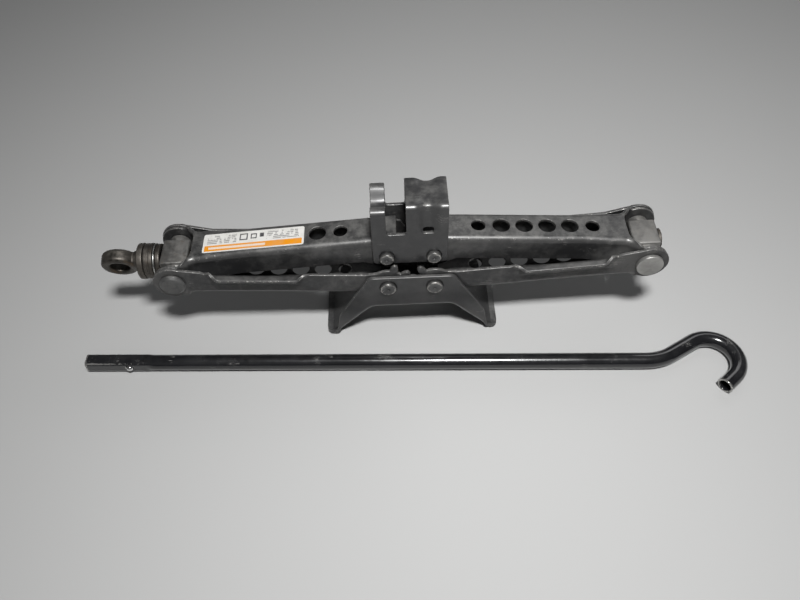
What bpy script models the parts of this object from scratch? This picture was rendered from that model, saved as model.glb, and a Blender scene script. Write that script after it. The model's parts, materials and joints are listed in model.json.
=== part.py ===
"""A scissor car jack, closed, with its crank handle lying in front of it. Metres, +Z up.

The jack stands on a pressed base. Two lower arms turn on rivets in the base and two upper arms on rivets in the
saddle, and both pairs mesh through gear teeth cut in their flanges, so the saddle stays level. A screw passes
through a bearing block at the left corner and a nut block at the right one. X runs along the screw, and Y from
the side where the handle lies towards the far side. The origin is under the middle of the whole model.
"""

import math

import bmesh
import bpy
from mathutils import Matrix, Vector

# Fits
GAP = 0.0003  # between pieces that touch
PIVOT_CLEARANCE = 0.0003  # around a rivet's shank
PLATE_CLEARANCE = 0.0004  # between a moving plate and the plate beside it

# Linkage
ARM_LENGTH = 0.165  # from pivot to pivot
GEAR_RADIUS = 0.018  # pitch radius, so half the distance between a pair's pivots
BASE_PIVOT_HEIGHT = 0.0582
CLOSED_ANGLE = math.radians(3.95)  # of the arms above level

# Gear teeth in the arms' flanges
TEETH_IN_CIRCLE = 10
TEETH_CUT = 3
PRESSURE_ANGLE = math.radians(25)
ADDENDUM = 0.0026
DEDENDUM = 0.0034
BACKLASH = 0.0005
GEAR_START = math.radians(50)  # where the toothed edge leaves the arm's rim
GEAR_END = math.radians(212)  # where it meets the web's side

# Lower arms: channels open upwards
LOWER_HALF_WIDTH = 0.025
LOWER_THICKNESS = 0.0025
LOWER_WEB_DEPTH = 0.012  # from the arm's centre line to the outside of its web
LOWER_RIM = 0.0097  # from the centre line to the flanges' free edge
LOWER_WEB_SHORT = 0.016  # the web ends this far before the outer pivot
LOWER_EAR_RADIUS = 0.015
LIP_WIDTH = 0.0052
LIP_START = 0.062
LIP_END = 0.128
LIP_RUNOUT = 0.010
LIP_RISE = 0.0023

# Upper arms: narrower channels open downwards, widening to ears inside the lower arms' ears
UPPER_HALF_WIDTH = 0.0144
UPPER_THICKNESS = 0.0025
UPPER_WEB_DEPTH = 0.01514
UPPER_RIM = 0.0068
UPPER_WEB_SHORT = 0.0160
UPPER_WEB_WIDENING = 0.0018  # how much wider each side of the web is at its outer end
UPPER_FLARE_START = 0.118
UPPER_EAR_RADIUS = 0.0146

WEB_TAIL = 0.009  # a web runs this far past the inner pivot
WEB_RELIEF = 0.001  # between the lower web's end and the ear's lower edge
EAR_TOP = math.radians(112)  # where an ear's round edge ends, from the arm's direction
FOLD_RADIUS = 0.005  # outside of the arms' folds

# Lightening holes in the arms' webs
HOLE_FIRST = 0.0337
HOLE_PITCH = 0.0177
HOLE_SMALL_RADIUS = 0.0054
HOLE_LARGE_RADIUS = 0.0067
HOLE_COUNT = 6

# Base
BASE_THICKNESS = 0.003
BASE_RISE = 0.0102  # of its top edge over the pivots
BASE_TOP_HALF_LENGTH = 0.0332
BASE_FOOT_END = 0.0705  # half of the length over both feet
BASE_FOOT_FLAT = 0.006
BASE_ARCH_HEIGHT = 0.0337
BASE_ARCH_SLOPE = math.radians(45.8)
BASE_FOLD_RADIUS = 0.0042
BASE_CORNER_RADIUS = 0.006
BASE_ARCH_RADIUS = 0.010
BASE_HEAD_RADIUS = 0.0061
BASE_HEAD_HEIGHT = 0.0029
BASE_SHANK_RADIUS = 0.0040

# Saddle
SADDLE_THICKNESS = 0.0029
SADDLE_BELOW_PIVOT = 0.0071
SADDLE_ABOVE_PIVOT = 0.0504
SADDLE_HALF_LENGTH = 0.0285
SADDLE_FOLD_RADIUS = 0.0048
SADDLE_CORNER_RADIUS = 0.0035
NOTCH_LEFT = -0.0175
NOTCH_RIGHT = -0.0027
NOTCH_FLOOR = 0.0235  # above the pivots
POST_DROP = 0.0038  # of the left post's crests below the pad
POST_VALLEY = 0.0085
BEAD_CENTRE = 0.0138
BEAD_WIDTH = 0.0076
BEAD_FLOOR = 0.0272  # above the pivots
BEAD_SLOT = 0.0026
SADDLE_HEAD_RADIUS = 0.0054
SADDLE_HEAD_HEIGHT = 0.0033
SADDLE_SHANK_RADIUS = 0.0040

# Trunnion blocks at the outer corners
BLOCK_HALF_LENGTH = 0.0106
BLOCK_HALF_WIDTH = 0.0128
BLOCK_HALF_HEIGHT = 0.0100
BLOCK_CHAMFER = 0.0012
BOSS_RADIUS = 0.0082
TRUNNION_HEAD_RADIUS = 0.0102
TRUNNION_HEAD_HEIGHT = 0.0038
TRUNNION_SHANK_RADIUS = 0.0055
TRUNNION_SHANK_DEPTH = 0.0082  # into the block

# Screw and its thrust stack
SCREW_RADIUS = 0.0060
SCREW_CLEARANCE = 0.0004
STOP_RADIUS = 0.0080
STOP_THICKNESS = 0.0024
CUP_RADIUS = 0.0131
CUP_THICKNESS = 0.0038
WASHER_RADIUS = 0.0136
WASHER_THICKNESS = 0.0012
BEARING_RADIUS = 0.0139
BEARING_THICKNESS = 0.0072
COLLAR_RADIUS = 0.0142
COLLAR_THICKNESS = 0.0048
EYE_RADIUS = 0.0142
EYE_HOLE_RADIUS = 0.0076
EYE_THICKNESS = 0.0112
EYE_REACH = 0.0160  # from the collar to the middle of the eye's hole
EYE_NECK_HALF_HEIGHT = 0.0068
EYE_TWIST = math.radians(18)

# Label on the left upper arm
LABEL_START = 0.0615
LABEL_LENGTH = 0.0785
LABEL_WIDTH = 0.0192
LABEL_SHIFT = 0.0010
LABEL_THICKNESS = 0.0003
LABEL_GAP = 0.0001

# Crank handle: a bent tube with a pressed square end
TUBE_RADIUS = 0.0064
TUBE_WALL = 0.0018
HANDLE_STRAIGHT = 0.447
HANDLE_START = (-0.2636, -0.0506)
HANDLE_TURN = math.radians(-2.69)
SWEEP_RADIUS = 0.040
SWEEP_ANGLE = math.radians(32)
SWEEP_STRAIGHT = 0.0221
HOOK_RADIUS = 0.021
HOOK_ANGLE = math.radians(170)
HOOK_STRAIGHT = 0.0125
SQUARE_HALF = 0.0056
SQUARE_CORNER_RADIUS = 0.0067
SQUARE_LENGTH = 0.049
SQUARE_RUNOUT = 0.006
BALL_RADIUS = 0.0028
BALL_PLACE = 0.0356  # along the handle
BALL_PROUD = 0.0022
BALL_TRAVEL = 0.0019
SPRING_THICKNESS = 0.0007
SPRING_WIDTH = 0.0036
SPRING_LENGTH = 0.026

# Worked out
SADDLE_PIVOT_HEIGHT = BASE_PIVOT_HEIGHT + 2 * ARM_LENGTH * math.sin(CLOSED_ANGLE)
TRUNNION_HEIGHT = BASE_PIVOT_HEIGHT + ARM_LENGTH * math.sin(CLOSED_ANGLE)
TRUNNION_X = GEAR_RADIUS + ARM_LENGTH * math.cos(CLOSED_ANGLE)
UPPER_EAR_HALF_WIDTH = LOWER_HALF_WIDTH - LOWER_THICKNESS - PLATE_CLEARANCE
BASE_HALF_WIDTH = LOWER_HALF_WIDTH + PLATE_CLEARANCE + BASE_THICKNESS
SADDLE_HALF_WIDTH = UPPER_HALF_WIDTH + PLATE_CLEARANCE + SADDLE_THICKNESS
BOSS_END = UPPER_EAR_HALF_WIDTH - UPPER_THICKNESS - PLATE_CLEARANCE
BORE_RADIUS = SCREW_RADIUS + SCREW_CLEARANCE
BEYOND = 0.010  # how far a cutter runs past what it cuts


# Meshes -----------------------------------------------------------------------------------------------------


def empty_scene():
    for obj in list(bpy.data.objects):
        bpy.data.objects.remove(obj, do_unlink=True)


def solid(name, bm):
    """An object from a bmesh whose faces are turned outwards."""
    bmesh.ops.recalc_face_normals(bm, faces=bm.faces)
    mesh = bpy.data.meshes.new(name)
    bm.to_mesh(mesh)
    bm.free()
    obj = bpy.data.objects.new(name, mesh)
    bpy.context.scene.collection.objects.link(obj)
    return obj


def loft_mesh(rings, closed=False):
    """A bmesh through rings of equal length, capped at both ends unless it closes on itself."""
    bm = bmesh.new()
    loops = [[bm.verts.new(point) for point in ring] for ring in rings]
    size = len(loops[0])
    pairs = list(zip(loops, loops[1:]))
    if closed:
        pairs.append((loops[-1], loops[0]))
    else:
        bm.faces.new(list(reversed(loops[0])))
        bm.faces.new(loops[-1])
    for near, far in pairs:
        for i in range(size):
            j = (i + 1) % size
            bm.faces.new((near[i], near[j], far[j], far[i]))
    return bm


def loft(name, rings, closed=False):
    return solid(name, loft_mesh(rings, closed))


def prism(name, outline, low, high, axis="Y"):
    """An outline swept along an axis. Its points are (x, z) for Y, (y, z) for X and (x, y) for Z."""
    place = {
        "X": lambda a, b, c: (c, a, b),
        "Y": lambda a, b, c: (a, c, b),
        "Z": lambda a, b, c: (a, b, c),
    }[axis]
    return loft(name, [[place(a, b, c) for a, b in outline] for c in (low, high)])


def turned(name, profile, axis="X", centre=(0, 0, 0), segments=32, ring=False):
    """A turned solid from (radius, place along the axis) points. A ring's profile closes on itself."""
    place = {
        "X": lambda r, a, t: (a, r * math.cos(t), r * math.sin(t)),
        "Y": lambda r, a, t: (r * math.cos(t), a, r * math.sin(t)),
        "Z": lambda r, a, t: (r * math.cos(t), r * math.sin(t), a),
    }[axis]
    turns = [2 * math.pi * i / segments for i in range(segments)]
    rings = [[Vector(place(r, a, t)) + Vector(centre) for t in turns] for r, a in profile]
    return loft(name, rings, closed=ring)


def cylinder(radius, low, high, axis="Y", centre=(0, 0, 0), segments=32):
    return turned("cutter", [(radius, low), (radius, high)], axis, centre, segments)


def box(low, high):
    outline = [(low[0], low[1]), (high[0], low[1]), (high[0], high[1]), (low[0], high[1])]
    return prism("cutter", outline, low[2], high[2], axis="Z")


def boolean(target, tool, operation):
    """Applies one exact boolean and removes the tool."""
    modifier = target.modifiers.new(operation, "BOOLEAN")
    modifier.operation = operation
    modifier.object = tool
    bpy.context.view_layer.update()
    evaluated = target.evaluated_get(bpy.context.evaluated_depsgraph_get())
    mesh = bpy.data.meshes.new_from_object(evaluated)
    target.modifiers.clear()
    old = target.data
    target.data = mesh
    bpy.data.meshes.remove(old)
    bpy.data.objects.remove(tool, do_unlink=True)


def cut(target, *tools):
    for tool in tools:
        boolean(target, tool, "DIFFERENCE")


def join(target, *tools):
    for tool in tools:
        boolean(target, tool, "UNION")


# Outlines ---------------------------------------------------------------------------------------------------


def arc(centre, radius, start, end, steps):
    """Points on an arc, both ends included."""
    angles = [start + (end - start) * i / steps for i in range(steps + 1)]
    return [(centre[0] + radius * math.cos(a), centre[1] + radius * math.sin(a)) for a in angles]


def rounded(corners, steps=5):
    """An outline from (x, y, radius) corners, each with its radius as a fillet."""
    outline = []
    count = len(corners)
    for i, (x, y, radius) in enumerate(corners):
        corner = Vector((x, y))
        if not radius:
            outline.append((x, y))
            continue
        before = (Vector(corners[i - 1][:2]) - corner).normalized()
        after = (Vector(corners[(i + 1) % count][:2]) - corner).normalized()
        half = before.angle(after) / 2
        middle = corner + (before + after).normalized() * (radius / math.sin(half))
        start = corner + before * (radius / math.tan(half)) - middle
        end = corner + after * (radius / math.tan(half)) - middle
        turn = start.angle_signed(end)
        first = math.atan2(start.y, start.x)
        outline += arc(middle, radius, first, first - turn, steps)
    return outline


def involute(angle):
    return math.tan(angle) - angle


def tooth(middle):
    """The outline of one tooth about an angle, against the clock: a flank, the tip and the other flank."""
    base = GEAR_RADIUS * math.cos(PRESSURE_ANGLE)
    tip = GEAR_RADIUS + ADDENDUM
    pitch_half = math.pi / (2 * TEETH_IN_CIRCLE) - BACKLASH / 4 / GEAR_RADIUS
    base_half = pitch_half + involute(PRESSURE_ANGLE)
    flank = [(GEAR_RADIUS - DEDENDUM, base_half), (base, base_half)]
    steps = 4
    for i in range(1, steps + 1):
        radius = base + (tip - base) * i / steps
        flank.append((radius, base_half - involute(math.acos(base / radius))))
    points = [(r, middle - half) for r, half in flank]
    points += [(r, middle + half) for r, half in reversed(flank)]
    return [(r * math.cos(a), r * math.sin(a)) for r, a in points]


def gear_edge(tooth_on_mesh_line):
    """The toothed end of an arm, in the arm's frame, from its rim round to its web. A tooth, or else a gap,
    stands where the pair meets while the jack is closed."""
    pitch = 2 * math.pi / TEETH_IN_CIRCLE
    first = math.pi - CLOSED_ANGLE + (0 if tooth_on_mesh_line else pitch / 2)
    root = GEAR_RADIUS - DEDENDUM
    points = [(root * math.cos(GEAR_START), root * math.sin(GEAR_START))]
    for i in reversed(range(TEETH_CUT)):
        points += tooth(first - i * pitch)
    points.append((root * math.cos(GEAR_END), root * math.sin(GEAR_END)))
    return points


# Arms -------------------------------------------------------------------------------------------------------


class Sheet:
    """An arm's folded plate: how far its sides stand from the middle along the arm, and where its fold is."""

    def __init__(self, stations, thickness, depth, rim):
        self.stations = stations  # (along the arm, half width at the fold, half width at the rim)
        self.thickness = thickness
        self.depth = depth
        self.fold = FOLD_RADIUS - depth
        self.rim = rim

    def half_width(self, station, height):
        _, at_fold, at_rim = station
        share = (height - self.fold) / (self.rim - self.fold)
        return at_fold + (at_rim - at_fold) * min(max(share, 0), 1)

    def flange(self, way, outline):
        """One side plate of even width, cut to its outline."""
        outer = way * self.stations[0][1]
        plate = prism("flange", outline, *sorted((outer, outer - way * self.thickness)))
        return plate

    def channel(self, name, top, inset=0):
        """The web with both folds and its legs, the inset taken off both faces."""
        steps = 5
        rows = 6
        rings = []
        for station in self.stations:
            middle = (self.half_width(station, self.fold) - FOLD_RADIUS, self.fold)
            heights = [top] + [self.rim + (self.fold - self.rim) * i / rows for i in range(rows)]
            heights = sorted({min(height, top) for height in heights}, reverse=True)
            outside = [(self.half_width(station, h) - inset, h) for h in heights]
            outside += arc(middle, FOLD_RADIUS - inset, 0, -math.pi / 2, steps)
            inside = [(self.half_width(station, h) - self.thickness + inset, h) for h in heights]
            inside += arc(middle, FOLD_RADIUS - self.thickness + inset, 0, -math.pi / 2, steps)
            ring = outside + [(-y, h) for y, h in reversed(outside)]
            ring += [(-y, h) for y, h in inside] + list(reversed(inside))
            rings.append([(station[0], y, h) for y, h in ring])
        return loft(name, rings)


def web_holes(depth, thickness):
    """Cutters for the row of lightening holes, the first and the last of them small."""
    for i in range(HOLE_COUNT):
        radius = HOLE_SMALL_RADIUS if i in (0, HOLE_COUNT - 1) else HOLE_LARGE_RADIUS
        place = (HOLE_FIRST + i * HOLE_PITCH, 0, 0)
        yield cylinder(radius, -depth - thickness, -depth + 2 * thickness, "Z", place, segments=24)


def pivot_holes(half_width, inner_radius, outer_radius):
    reach = half_width + BEYOND
    yield cylinder(inner_radius + PIVOT_CLEARANCE, -reach, reach)
    yield cylinder(outer_radius + PIVOT_CLEARANCE, -reach, reach, centre=(ARM_LENGTH, 0, 0))


def lip(side):
    """The rolled lip of a lower arm's front flange: a strip along its free edge that climbs into the ear."""
    root = LOWER_HALF_WIDTH - LOWER_THICKNESS / 2
    edge = LOWER_HALF_WIDTH + LIP_WIDTH
    slim = LOWER_HALF_WIDTH + 0.1 * LIP_WIDTH
    places = [
        (LIP_START - LIP_WIDTH / 2, slim, LOWER_RIM),
        (LIP_START + LIP_WIDTH / 2, edge, LOWER_RIM),
        (LIP_END, edge, LOWER_RIM),
        (LIP_END + LIP_RUNOUT, slim, LOWER_RIM + LIP_RISE),
    ]
    rings = []
    for u, y, top in places:
        bottom = top - LOWER_THICKNESS
        rings.append([(u, side * a, b) for a, b in ((root, bottom), (y, bottom), (y, top), (root, top))])
    return loft("lip", rings)


def lower_arm(name, tooth_on_mesh_line, front):
    """Its front flange, on the front side of its own Y axis, has the rolled lip."""
    web_end = ARM_LENGTH - LOWER_WEB_SHORT
    half = LOWER_HALF_WIDTH
    stations = [(u, half, half) for u in (-WEB_TAIL, web_end)]
    sheet = Sheet(stations, LOWER_THICKNESS, LOWER_WEB_DEPTH, LOWER_RIM)
    rim_end = LIP_END + LIP_RUNOUT
    rim = [
        (rim_end + LIP_RISE, LOWER_RIM + LIP_RISE - LOWER_THICKNESS / 4),
        (rim_end, LOWER_RIM + LIP_RISE),
        (LIP_END, LOWER_RIM),
        (GEAR_RADIUS, LOWER_RIM),
    ]
    fold = FOLD_RADIUS - LOWER_WEB_DEPTH
    ear_start = -math.pi / 2 - math.acos(LOWER_WEB_DEPTH / LOWER_EAR_RADIUS)
    bottom = [(-WEB_TAIL, fold), (web_end, fold), (web_end + WEB_RELIEF, -LOWER_WEB_DEPTH)]
    ear = arc((ARM_LENGTH, 0), LOWER_EAR_RADIUS, ear_start, EAR_TOP, 24)
    outline = bottom + ear + rim + gear_edge(tooth_on_mesh_line)
    arm = sheet.channel(name, fold + LOWER_THICKNESS / 2, 0.1 * GAP)
    join(arm, sheet.flange(1, outline), sheet.flange(-1, outline), lip(front))
    cut(arm, *web_holes(LOWER_WEB_DEPTH, LOWER_THICKNESS))
    cut(arm, *pivot_holes(half, BASE_SHANK_RADIUS, TRUNNION_SHANK_RADIUS))
    return arm


def upper_arm(name, tooth_on_mesh_line):
    """Modelled with its web below, then turned over. Past the web's end its folds run on into the ears."""
    web_end = ARM_LENGTH - UPPER_WEB_SHORT
    narrow = UPPER_HALF_WIDTH
    wide = narrow + UPPER_WEB_WIDENING
    ear = UPPER_EAR_HALF_WIDTH
    flare_middle = (UPPER_FLARE_START + web_end) / 2
    stations = [
        (-2 * GEAR_RADIUS, narrow, narrow),
        (UPPER_FLARE_START, narrow, narrow),
        (flare_middle, (narrow + wide) / 2, (narrow + ear) / 2),
        (web_end, wide, ear),
        (ARM_LENGTH - BOSS_RADIUS - GAP, ear, ear),
        (ARM_LENGTH + 2 * UPPER_EAR_RADIUS, ear, ear),
    ]
    sheet = Sheet(stations, UPPER_THICKNESS, UPPER_WEB_DEPTH, UPPER_RIM)
    bottom = -UPPER_WEB_DEPTH - GAP
    outline = [(-WEB_TAIL, bottom), (ARM_LENGTH, bottom)]
    outline += arc((ARM_LENGTH, 0), UPPER_EAR_RADIUS, -math.pi / 2, EAR_TOP, 24)
    outline += [(ARM_LENGTH - 1.7 * UPPER_EAR_RADIUS, UPPER_RIM), (GEAR_RADIUS, UPPER_RIM)]
    outline += gear_edge(tooth_on_mesh_line)
    arm = sheet.channel(name, 1.3 * GEAR_RADIUS)
    reach = UPPER_EAR_HALF_WIDTH + BEYOND
    boolean(arm, prism("outline", outline, -reach, reach), "INTERSECT")
    flat = ear - FOLD_RADIUS
    far = ARM_LENGTH + 2 * UPPER_EAR_RADIUS
    cut(arm, box((web_end, -flat, bottom), (far, flat, bottom + FOLD_RADIUS)))
    cut(arm, *web_holes(UPPER_WEB_DEPTH, UPPER_THICKNESS))
    cut(arm, *pivot_holes(UPPER_EAR_HALF_WIDTH, SADDLE_SHANK_RADIUS, TRUNNION_SHANK_RADIUS))
    arm.data.transform(Matrix.Rotation(math.pi, 4, "X"))
    return arm


def label(name):
    """A sticker on the web of the left upper arm, in that arm's frame."""
    bottom = UPPER_WEB_DEPTH + LABEL_GAP
    low = (LABEL_START, LABEL_SHIFT - LABEL_WIDTH / 2, bottom)
    high = (LABEL_START + LABEL_LENGTH, LABEL_SHIFT + LABEL_WIDTH / 2, bottom + LABEL_THICKNESS)
    sticker = box(low, high)
    sticker.name = name
    return sticker


# Base and saddle --------------------------------------------------------------------------------------------


def soften_folds(obj, half_width, radius, below):
    """Rounds the long edges of the two sides that look down, where a plate folds into a web."""
    bm = bmesh.new()
    bm.from_mesh(obj.data)
    edges = []
    for edge in bm.edges:
        middle = (edge.verts[0].co + edge.verts[1].co) / 2
        along = (edge.verts[1].co - edge.verts[0].co).normalized()
        looks_down = any(face.normal.z < -0.3 for face in edge.link_faces)
        if abs(abs(middle.y) - half_width) < 1e-5 and abs(along.y) < 0.1 and looks_down and below(middle):
            edges.append(edge)
    bmesh.ops.bevel(bm, geom=edges, offset=radius, segments=4, profile=0.5, affect="EDGES")
    bm.to_mesh(obj.data)
    bm.free()


def base_bracket(name):
    """An inverted arch: two side plates, and a web that follows their lower edge from foot to foot."""
    top = BASE_PIVOT_HEIGHT + BASE_RISE
    foot_start = BASE_FOOT_END - BASE_FOOT_FLAT
    arch_x = foot_start - BASE_ARCH_HEIGHT / math.tan(BASE_ARCH_SLOPE)
    right = [
        (foot_start, 0, 0),
        (BASE_FOOT_END, 0, 0),
        (BASE_FOOT_END, BASE_THICKNESS, 0),
        (BASE_TOP_HALF_LENGTH, top, BASE_CORNER_RADIUS),
    ]
    left = [(-x, z, r) for x, z, r in reversed(right)]
    arch = [(-arch_x, BASE_ARCH_HEIGHT, BASE_ARCH_RADIUS), (arch_x, BASE_ARCH_HEIGHT, BASE_ARCH_RADIUS)]
    outside = rounded(right + left + arch)
    base = prism(name, outside, -BASE_HALF_WIDTH, BASE_HALF_WIDTH)
    soften_folds(base, BASE_HALF_WIDTH, BASE_FOLD_RADIUS, lambda p: p.z < BASE_PIVOT_HEIGHT)

    rise = BASE_THICKNESS / math.cos(BASE_ARCH_SLOPE)
    slope = math.tan(BASE_ARCH_SLOPE)
    inner_foot = foot_start + (rise - BASE_THICKNESS) / slope
    inner_height = BASE_ARCH_HEIGHT + BASE_THICKNESS
    inner_x = foot_start - (inner_height - rise) / slope
    inner_radius = BASE_ARCH_RADIUS + BASE_THICKNESS
    far = BASE_FOOT_END + BEYOND
    inside = rounded([
        (far, BASE_THICKNESS, 0),
        (far, top + BEYOND, 0),
        (-far, top + BEYOND, 0),
        (-far, BASE_THICKNESS, 0),
        (-inner_foot, BASE_THICKNESS, 0),
        (-inner_x, inner_height, inner_radius),
        (inner_x, inner_height, inner_radius),
        (inner_foot, BASE_THICKNESS, 0),
    ])
    inner_half = BASE_HALF_WIDTH - BASE_THICKNESS
    room = prism("cutter", inside, -inner_half, inner_half)
    soften_folds(room, inner_half, BASE_FOLD_RADIUS - BASE_THICKNESS, lambda p: p.z < top)
    cut(base, room)
    for side in (-1, 1):
        centre = (side * GEAR_RADIUS, 0, BASE_PIVOT_HEIGHT)
        reach = BASE_HALF_WIDTH + BEYOND
        cut(base, cylinder(BASE_SHANK_RADIUS + PIVOT_CLEARANCE, -reach, reach, centre=centre))
    return base


def saddle_section(x, top, valley):
    """A cross-section of the saddle's bent plate, open below, its middle sunk by valley."""
    bottom = SADDLE_PIVOT_HEIGHT - SADDLE_BELOW_PIVOT
    corner = (SADDLE_HALF_WIDTH - SADDLE_FOLD_RADIUS, top - SADDLE_FOLD_RADIUS)
    across = [corner[0] * share for share in (0.75, 0.5, 0.25, 0)]
    sunk = [(y, valley * (1 + math.cos(math.pi * y / corner[0])) / 2) for y in across]
    outside = [(SADDLE_HALF_WIDTH, bottom)] + arc(corner, SADDLE_FOLD_RADIUS, 0, math.pi / 2, 5)
    outside += [(y, top - drop) for y, drop in sunk]
    inside = [(SADDLE_HALF_WIDTH - SADDLE_THICKNESS, bottom)]
    inside += arc(corner, SADDLE_FOLD_RADIUS - SADDLE_THICKNESS, 0, math.pi / 2, 5)
    inside += [(y, top - SADDLE_THICKNESS - drop) for y, drop in sunk]
    ring = outside + [(-y, z) for y, z in reversed(outside[:-1])]
    ring += [(-y, z) for y, z in inside] + list(reversed(inside[:-1]))
    return [(x, y, z) for y, z in ring]


def press_bead(saddle, way, top):
    """Presses a bead into one side plate, from a slot up through the fold."""
    floor = SADDLE_PIVOT_HEIGHT + BEAD_FLOOR
    low, high = BEAD_CENTRE - BEAD_WIDTH / 2, BEAD_CENTRE + BEAD_WIDTH / 2

    def block(start, end, bottom, ceiling, inner, outer):
        outline = [(start, bottom), (end, bottom), (end, ceiling), (start, ceiling)]
        depths = (SADDLE_HALF_WIDTH - inner * SADDLE_THICKNESS, SADDLE_HALF_WIDTH - outer * SADDLE_THICKNESS)
        return prism("bead", outline, *sorted(way * depth for depth in depths))

    cut(saddle, block(low, high, floor - BEAD_SLOT, floor + GAP, 1.5, -2))
    cut(saddle, block(low, high, floor - BEAD_SLOT / 2, top + BEYOND, 0.8, -2))
    margin = SADDLE_THICKNESS / 2
    join(saddle, block(low - margin, high + margin, floor + GAP / 2, top - margin, 1.9, 0.85))


def saddle_bracket(name):
    """The load head: a plate bent into an inverted U, with a notch between its post and its pad."""
    top = SADDLE_PIVOT_HEIGHT + SADDLE_ABOVE_PIVOT
    bottom = SADDLE_PIVOT_HEIGHT - SADDLE_BELOW_PIVOT
    post_top = top - POST_DROP
    saddle = loft(name, [
        saddle_section(-SADDLE_HALF_LENGTH, post_top, POST_VALLEY),
        saddle_section(NOTCH_LEFT, post_top, POST_VALLEY),
        saddle_section(NOTCH_RIGHT, top, 0),
        saddle_section(SADDLE_HALF_LENGTH, top, 0),
    ])
    radius = SADDLE_CORNER_RADIUS
    length = SADDLE_HALF_LENGTH
    notch_floor = SADDLE_PIVOT_HEIGHT + NOTCH_FLOOR
    above = top + BEYOND
    side = rounded([
        (-length, bottom, radius),
        (length, bottom, radius),
        (length, above, 0),
        (NOTCH_RIGHT, above, 0),
        (NOTCH_RIGHT, notch_floor, radius / 2),
        (NOTCH_LEFT, notch_floor, radius / 2),
        (NOTCH_LEFT, above, 0),
        (-length, above, 0),
    ])
    reach = SADDLE_HALF_WIDTH + BEYOND
    boolean(saddle, prism("outline", side, -reach, reach), "INTERSECT")
    for way in (-1, 1):
        press_bead(saddle, way, top)
    for way in (-1, 1):
        centre = (way * GEAR_RADIUS, 0, SADDLE_PIVOT_HEIGHT)
        cut(saddle, cylinder(SADDLE_SHANK_RADIUS + PIVOT_CLEARANCE, -reach, reach, centre=centre))
    return saddle


def pivot_rivet(name, half_width, shank_radius, head_radius, head_height):
    """A rivet through both plates, headed at both ends, each head with a small dimple. Its origin is its axis."""
    seat = half_width + GAP
    face = half_width + head_height
    edge = 0.15 * head_height
    dimple = 0.15 * head_radius
    head = [
        (shank_radius, seat),
        (head_radius, seat),
        (head_radius, face - edge),
        (head_radius - edge, face),
        (dimple, face),
        (dimple / 4, face - dimple),
    ]
    profile = [(r, -a) for r, a in reversed(head)] + head
    return turned(name, profile, axis="Y", segments=28)


# Trunnions and screw ----------------------------------------------------------------------------------------


def trunnion_block(name):
    """A block with a round boss on each side, bored for the screw and drilled for its two pins."""
    corners = [(-BLOCK_HALF_LENGTH, -BLOCK_HALF_HEIGHT), (BLOCK_HALF_LENGTH, -BLOCK_HALF_HEIGHT),
               (BLOCK_HALF_LENGTH, BLOCK_HALF_HEIGHT), (-BLOCK_HALF_LENGTH, BLOCK_HALF_HEIGHT)]
    outline = rounded([(x, z, BLOCK_CHAMFER) for x, z in corners], steps=2)
    block = prism(name, outline, -BLOCK_HALF_WIDTH, BLOCK_HALF_WIDTH)
    join(block, cylinder(BOSS_RADIUS, -BOSS_END, BOSS_END))
    reach = BLOCK_HALF_LENGTH + BEYOND
    cut(block, cylinder(BORE_RADIUS, -reach, reach, axis="X"))
    depth = BOSS_END - TRUNNION_SHANK_DEPTH
    for ends in ((-BOSS_END - BEYOND, -depth), (depth, BOSS_END + BEYOND)):
        cut(block, cylinder(TRUNNION_SHANK_RADIUS + PIVOT_CLEARANCE, *ends))
    return block


def trunnion_rivet(name, way):
    """A headed pin from outside a lower arm's ear into the block."""
    seat = LOWER_HALF_WIDTH + GAP
    face = LOWER_HALF_WIDTH + TRUNNION_HEAD_HEIGHT
    edge = 0.2 * TRUNNION_HEAD_HEIGHT
    profile = [
        (TRUNNION_SHANK_RADIUS, BOSS_END - TRUNNION_SHANK_DEPTH + GAP),
        (TRUNNION_SHANK_RADIUS, seat),
        (TRUNNION_HEAD_RADIUS, seat),
        (TRUNNION_HEAD_RADIUS, face - edge),
        (TRUNNION_HEAD_RADIUS - edge, face),
    ]
    return turned(name, [(r, way * a) for r, a in profile], axis="Y", segments=36)


def thrust_stack():
    """(name, radius, near end, far end) of each ring between the left block and the eye, along -X."""
    place = BLOCK_HALF_LENGTH
    for name, radius, thickness in (
        ("bearing_cup", CUP_RADIUS, CUP_THICKNESS),
        ("bearing_washer", WASHER_RADIUS, WASHER_THICKNESS),
        ("thrust_bearing", BEARING_RADIUS, BEARING_THICKNESS),
        ("thrust_collar", COLLAR_RADIUS, COLLAR_THICKNESS),
    ):
        near = place + GAP
        place = near + thickness
        yield name, radius, near, place


def screw_ring(name, radius, near, far):
    """A ring on the screw, its outer edges eased, running along -X from near to far."""
    ease = min(0.0008, (far - near) / 4)
    inner = BORE_RADIUS
    profile = [(inner, -near), (radius - ease, -near), (radius, -near - ease), (radius, -far + ease),
               (radius - ease, -far), (inner, -far)]
    return turned(name, profile, segments=40, ring=True)


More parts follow.
